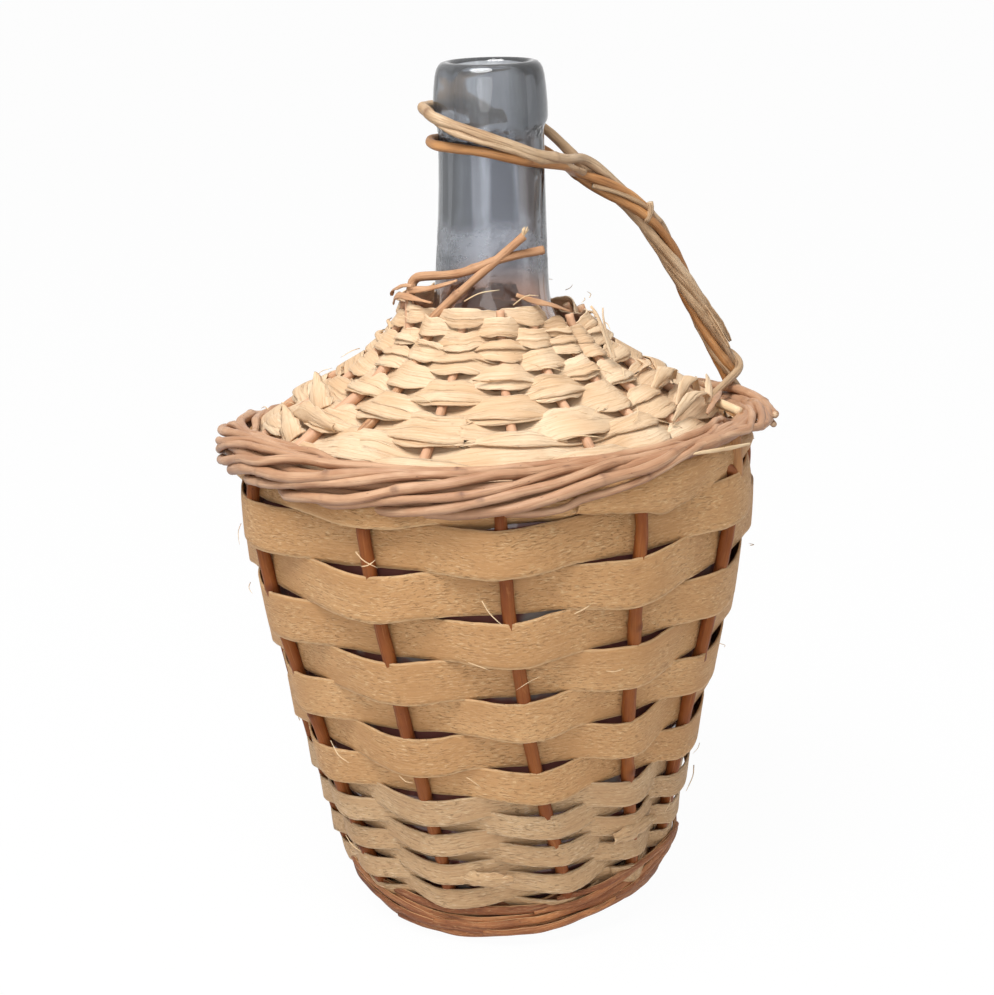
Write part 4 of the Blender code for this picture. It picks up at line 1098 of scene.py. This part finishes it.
loose = {
    # flat pieces: finish, width, keys of degrees, radius, height and roll
    "flakes": (
        ("weatheredTip", 3, ((-196, 39.5, 280.5, 20), (-180, 38, 284.2, 30), (-160, 35, 286.8, 40),
            (-140, 31.8, 290.5, 60))),
        ("weatheredTip", 3.4, ((-204, 43, 276, 10), (-190, 42, 281.2, 30), (-172, 40.5, 282.2, 60),
            (-154, 39.2, 281.2, 100))),
        ("weatheredTip", 2.2, ((-206, 44, 279, 80), (-196, 43, 283, 60), (-184, 40, 286.2, 30),
            (-176, 38.5, 286.8, 20))),
        ("weatheredTip", 2.6, ((-97, 37.5, 285.2, 10), (-86, 39.5, 282.2, 30), (-74, 41.5, 279.5, 50),
            (-62, 42.5, 275.6, 60))),
        # the forked spike
        ("coneStrip", 1.9, ((-57, 61.2, 256, 0), (-57, 57.5, 266, 5), (-58, 54.5, 274.5, 12),
            (-59, 52, 278.5, 20))),
        ("coneStrip", 1.7, ((-54, 61, 256, 0), (-54, 57.2, 265, -5), (-53, 54.8, 272.5, -10),
            (-51, 53.6, 276.5, -16))),
        # curls on the right and folds on the left
        ("coneStrip", 6, ((-50, 76, 242, 10), (-45, 77.2, 246.5, 35), (-39, 78.2, 247.8, 70),
            (-33, 79.2, 244.8, 110), (-29, 80, 240, 130))),
        ("coneStrip", 5.2, ((-50, 87, 236, 0), (-44, 87.2, 242.5, 30), (-38, 88, 244, 65),
            (-32, 89.2, 240, 100), (-30, 90.5, 234.5, 120))),
        ("coneStrip", 4.8, ((-60, 93, 233, 0), (-53, 92.5, 237.8, 25), (-46, 93, 240, 60),
            (-39, 94.5, 237.5, 95), (-34, 96.5, 232, 115))),
        ("coneStrip", 4.4, ((-38, 96, 233, 80), (-31, 95, 238.5, 50), (-24, 95, 238.5, 20),
            (-17, 96.5, 234, 10), (-10, 99, 230, 10))),
        ("rimRod", 2.6, ((-46, 98.5, 231.8, 40), (-38, 98.5, 233.8, 80), (-30, 99.2, 233.4, 60),
            (-22, 101, 231.8, 30))),
        ("coneStrip", 13.5, ((-177, 82.5, 236.2, -35), (-182, 80.8, 240.5, -48), (-187, 79.5, 245, -55),
            (-191, 78.8, 248.5, -62))),
        ("coneStrip", 12.2, ((-174, 97.5, 226.4, -35), (-179, 96, 230, -48), (-184, 94.8, 233.4, -55),
            (-188, 94.2, 236.2, -62))),
        ("coneStrip", 9.2, ((-184, 90.5, 234.5, 30), (-178, 90, 237.8, 20), (-170, 89.5, 237.2, 5),
            (-162, 89, 235.2, 0))),
        # splint ends that show, torn and cut
        ("narrowSplint", 7, ((-128, 79.8, 37.2, 0), (-120, 81.2, 36.6, 0), (-111, 82.2, 37.2, 0))),
        ("narrowSplint", 8.2, ((-80, 85.8, 50, 0), (-72, 85.8, 51, 0), (-62, 85, 52, 0))),
        ("splitWood", 1.6, ((-70, 118, 227.2, 0), (-61, 120.2, 225.6, 0), (-51, 121.2, 223, 0))),
        ("wideSplint", 16.5, ((-152, 110.6, 215, 0), (-136, 111.2, 213.8, 0), (-120, 111.3, 213.4, 0),
            (-104, 111.3, 213.4, 0), (-90, 111.2, 214, 0))),
        ("wideSplint", 21.5, ((-97, 114, 215, 0), (-84, 116.2, 215.8, 0), (-73, 115.2, 216.2, 0),
            (-62, 112.4, 216.4, 0), (-51, 110.6, 216.2, 0), (-40, 110.8, 215.8, 0), (-30, 111.2, 215, 0))),
        ("handleRod", 3, ((0, 103, 270.5, 60), (-1, 108.5, 261, 70), (-1, 115, 252, 80), (0, 119.8, 245, 85))),
        ("handleRod", 2.6, ((-2, 104, 264, 20), (-4, 109.5, 253, 30), (-5, 114, 244.5, 40))),
    ),
    # fibres laid one by one: three keys of degrees, radius, height
    "fibres": (
        ((-116.5, 116.8, 176.5), (-115, 117, 171), (-112.5, 116.2, 165.5)),
        ((-142, 119, 194.5), (-140, 119.8, 191.5), (-137.5, 117.8, 188.5)),
        ((-141, 118.5, 188.5), (-139, 120, 190), (-137.5, 119.5, 192.5)),
        ((-98, 116.2, 168.5), (-96.5, 117, 170), (-94.5, 116, 171.5)),
        ((-149, 94.5, 234.2), (-144, 95.5, 235.2), (-138, 96.8, 233.5)),
        ((-97, 92, 235.2), (-92, 93, 236.2), (-85, 94.5, 234.2)),
        ((-130, 40, 283.5), (-120, 39.2, 287), (-108, 38.8, 288)),
        ((-100, 40, 281.5), (-92, 40.2, 285), (-84, 40.8, 284.5)),
    ),
    "fibreRadius": 0.00032, "splinterRadius": 0.0005, "flakeThickness": 0.0005,
    "coneFibres": 46, "sideFibres": 30, "splinterHairs": 7,
}


def addFlake(name, keys, width, seed, pointed):
    degrees, radius, height, roll = (np.array(keys) * (1, mm, mm, 1)).T
    path, even = evenPath(smoothLine(polar(radius, height, degrees), 8), 0.0008)
    rolls = np.radians(np.interp(even / even[-1], np.linspace(0, 1, len(keys)), roll))[:, None]
    tangent = unit(np.gradient(path, axis=0))
    across = unit(np.cross(tangent, unit(path * (1, 1, 0))))
    turned = across * np.cos(rolls) + np.cross(across, tangent) * np.sin(rolls)
    raised = np.cross(turned, tangent)
    last = len(path) - 1
    flake = addGrid(name, last, 6)

    def shape(along, sideways):
        spot = np.round(along * last).astype(int)
        side = sideways - 0.5
        taper = 0.30 + 0.70 * np.sin(math.pi * np.clip(along * 0.86 + 0.10, 0, 1))
        if pointed:
            taper = 1 - 0.88 * along**1.6
        wide = width * taper * (1 + 0.15 * wander(along, seed, 0.4))
        cup = 0.16 * width * (1 - 4 * side**2)
        spots = path[spot] + turned[spot] * (side * wide)[:, None] + raised[spot] * cup[:, None]
        return spots, even[spot] + seed * 0.23, side * wide, np.abs(2 * side), 0.4, 0.0, 0.0

    bendGrid(flake, shape, ("edge", "tone", "knot", "cut"))
    return thicken(flake, loose["flakeThickness"])


# a thin bent fibre that tapers to its end
def addFibre(name, points, radius):
    addRod(name, smoothLine(points, 4), ((0, radius), (0.7, radius * 0.8), (1, radius * 0.3)), 7, "splitWood",
           "pale_split_willow", sides=5, step=0.0018, knotPitch=1.0, rough=0.1, tone=0.2)


def buildLoose():
    for number, (finish, width, keys) in enumerate(loose["flakes"]):
        flake = addFlake(f"flake{number + 1:02d}", keys, width * mm, 700 + 5 * number, keys[-1][3] < -60)
        finishPiece(flake, finishes[finish])
    for number, keys in enumerate(loose["fibres"]):
        addFibre(f"fibre{number + 1:02d}", ringPoints(keys), loose["fibreRadius"])
    dice = np.random.RandomState(91)
    for number in range(loose["coneFibres"] + loose["sideFibres"]):
        onTop = number < loose["coneFibres"]
        length = wallEnd - dice.uniform(0.001, 0.094) if onTop else dice.uniform(sideLow, sideTop - 0.01)
        degrees, reach = dice.uniform(0, 360), dice.uniform(0.004, 0.010)
        slant, lift = dice.uniform(-1, 1), dice.uniform(0.0005, 0.0022)
        start = wallSpot(length, 0.0046)
        middle = wallSpot(length + 0.35 * reach * slant, 0.0046 + lift)
        end = wallSpot(length + reach * slant, 0.0042 + lift * dice.uniform(0.2, 1.6))
        step = np.degrees(reach / start[0]) * dice.choice((-1, 1))
        points = [polar(*start, degrees), polar(*middle, degrees + step * 0.5), polar(*end, degrees + step)]
        addFibre(f"hair{number + 1:02d}", points, loose["fibreRadius"] * dice.uniform(0.45, 0.9))
    # splintered end of the longer broken upright
    for number in range(loose["splinterHairs"]):
        out, turn, rise = dice.uniform(-1, 1, 3)
        points = ringPoints(((-88, 30.6, 307.2), (-85 + 2 * turn, 30.6 + 0.8 * out, 309.8),
                             (-83 + 4 * turn, 30.6 + 1.4 * out, 311.8 + rise)))
        addFibre(f"splinter{number + 1}", points, loose["splinterRadius"])


buildLoose()
print("loose ends laid")


studio = {
    "azimuth": -23, "distance": 0.95, "height": 0.459, "aim": 0.186, "roll": 0.0265, "lens": 79.27,
    "floorSize": 24, "floorColor": (0.87, 0.87, 0.87), "floorShade": (0.84, 0.84, 0.845), "floorLift": 0.97,
    "world": 0.36, "lampAim": (0, 0, 0.2),
    # name: place, size, power
    "lamps": {"topSoft": ((-0.55, -0.45, 1.6), 0.9, 28.5), "frontSoft": ((-1.1, -1.8, 0.8), 1.3, 9.5),
              "rightSoft": ((1.5, -1.3, 0.6), 1.3, 1.5)},
}


# 1 for rays that show a surface in the picture or in glass, 0 for those that only light
def seenRays(tree):
    camera, glossy, through = (makeNode(tree, "LightPath", {}, f"Is {kind} Ray") for kind in (
        "Camera", "Glossy", "Transmission"))
    return mathNode("MAXIMUM", camera, mathNode("MAXIMUM", glossy, through))


def buildStudio():
    scene = bpy.context.scene
    bpy.ops.object.select_all(action="DESELECT")
    bpy.ops.mesh.primitive_plane_add(size=studio["floorSize"])
    floor = bpy.context.object
    floor.name = "studioFloor"
    material, tree, shader = newMaterial("paleFloor")
    clouds = noise(makeNode(tree, "TexCoord", {}, "Object"), 3.0)
    setInputs(shader, {"Base Color": mix(clouds, studio["floorColor"], studio["floorShade"]), "Roughness": 0.9})
    white = makeNode(tree, "Emission", {"Color": (1, 1, 1), "Strength": 1.0})
    mixed = makeNode(tree, "MixShader", {0: mathNode("MULTIPLY", seenRays(tree), studio["floorLift"]),
                                         1: shader.outputs[0], 2: white})
    setInputs(tree.nodes["Material Output"], {"Surface": mixed})
    floor.data.materials.append(material)

    world = bpy.data.worlds.new("studioWorld")
    world.use_nodes = True
    scene.world = world
    tree = world.node_tree
    setInputs(tree.nodes["Background"], {
        "Strength": weighted(studio["world"], (seenRays(tree), 1 - studio["world"])), "Color": (1, 1, 1)})

    for name, (place, size, power) in studio["lamps"].items():
        bpy.ops.object.light_add(type="AREA", location=place)
        lamp = bpy.context.object
        lamp.name = name
        lamp.data.shape = "DISK"
        lamp.data.size = size
        lamp.data.energy = power
        lamp.rotation_euler = (Vector(studio["lampAim"]) - Vector(place)).to_track_quat("-Z", "Y").to_euler()

    turned = math.radians(studio["azimuth"])
    spot = Vector((studio["distance"] * math.sin(turned), -studio["distance"] * math.cos(turned),
                   studio["height"]))
    forward = (Vector((0, 0, studio["aim"])) - spot).normalized()
    right = forward.cross(Vector((0, 0, 1))).normalized()
    rolledUp = right.cross(forward) * math.cos(studio["roll"]) + right * math.sin(studio["roll"])
    bpy.ops.object.camera_add(location=spot)
    camera = bpy.context.object
    camera.name = "photoCamera"
    camera.data.lens = studio["lens"]
    camera.data.sensor_width = 36
    camera.data.clip_start = 0.01
    camera.rotation_euler = Matrix((forward.cross(rolledUp), rolledUp, -forward)).transposed().to_euler()
    scene.camera = camera
    scene.view_settings.view_transform = "Standard"


buildStudio()
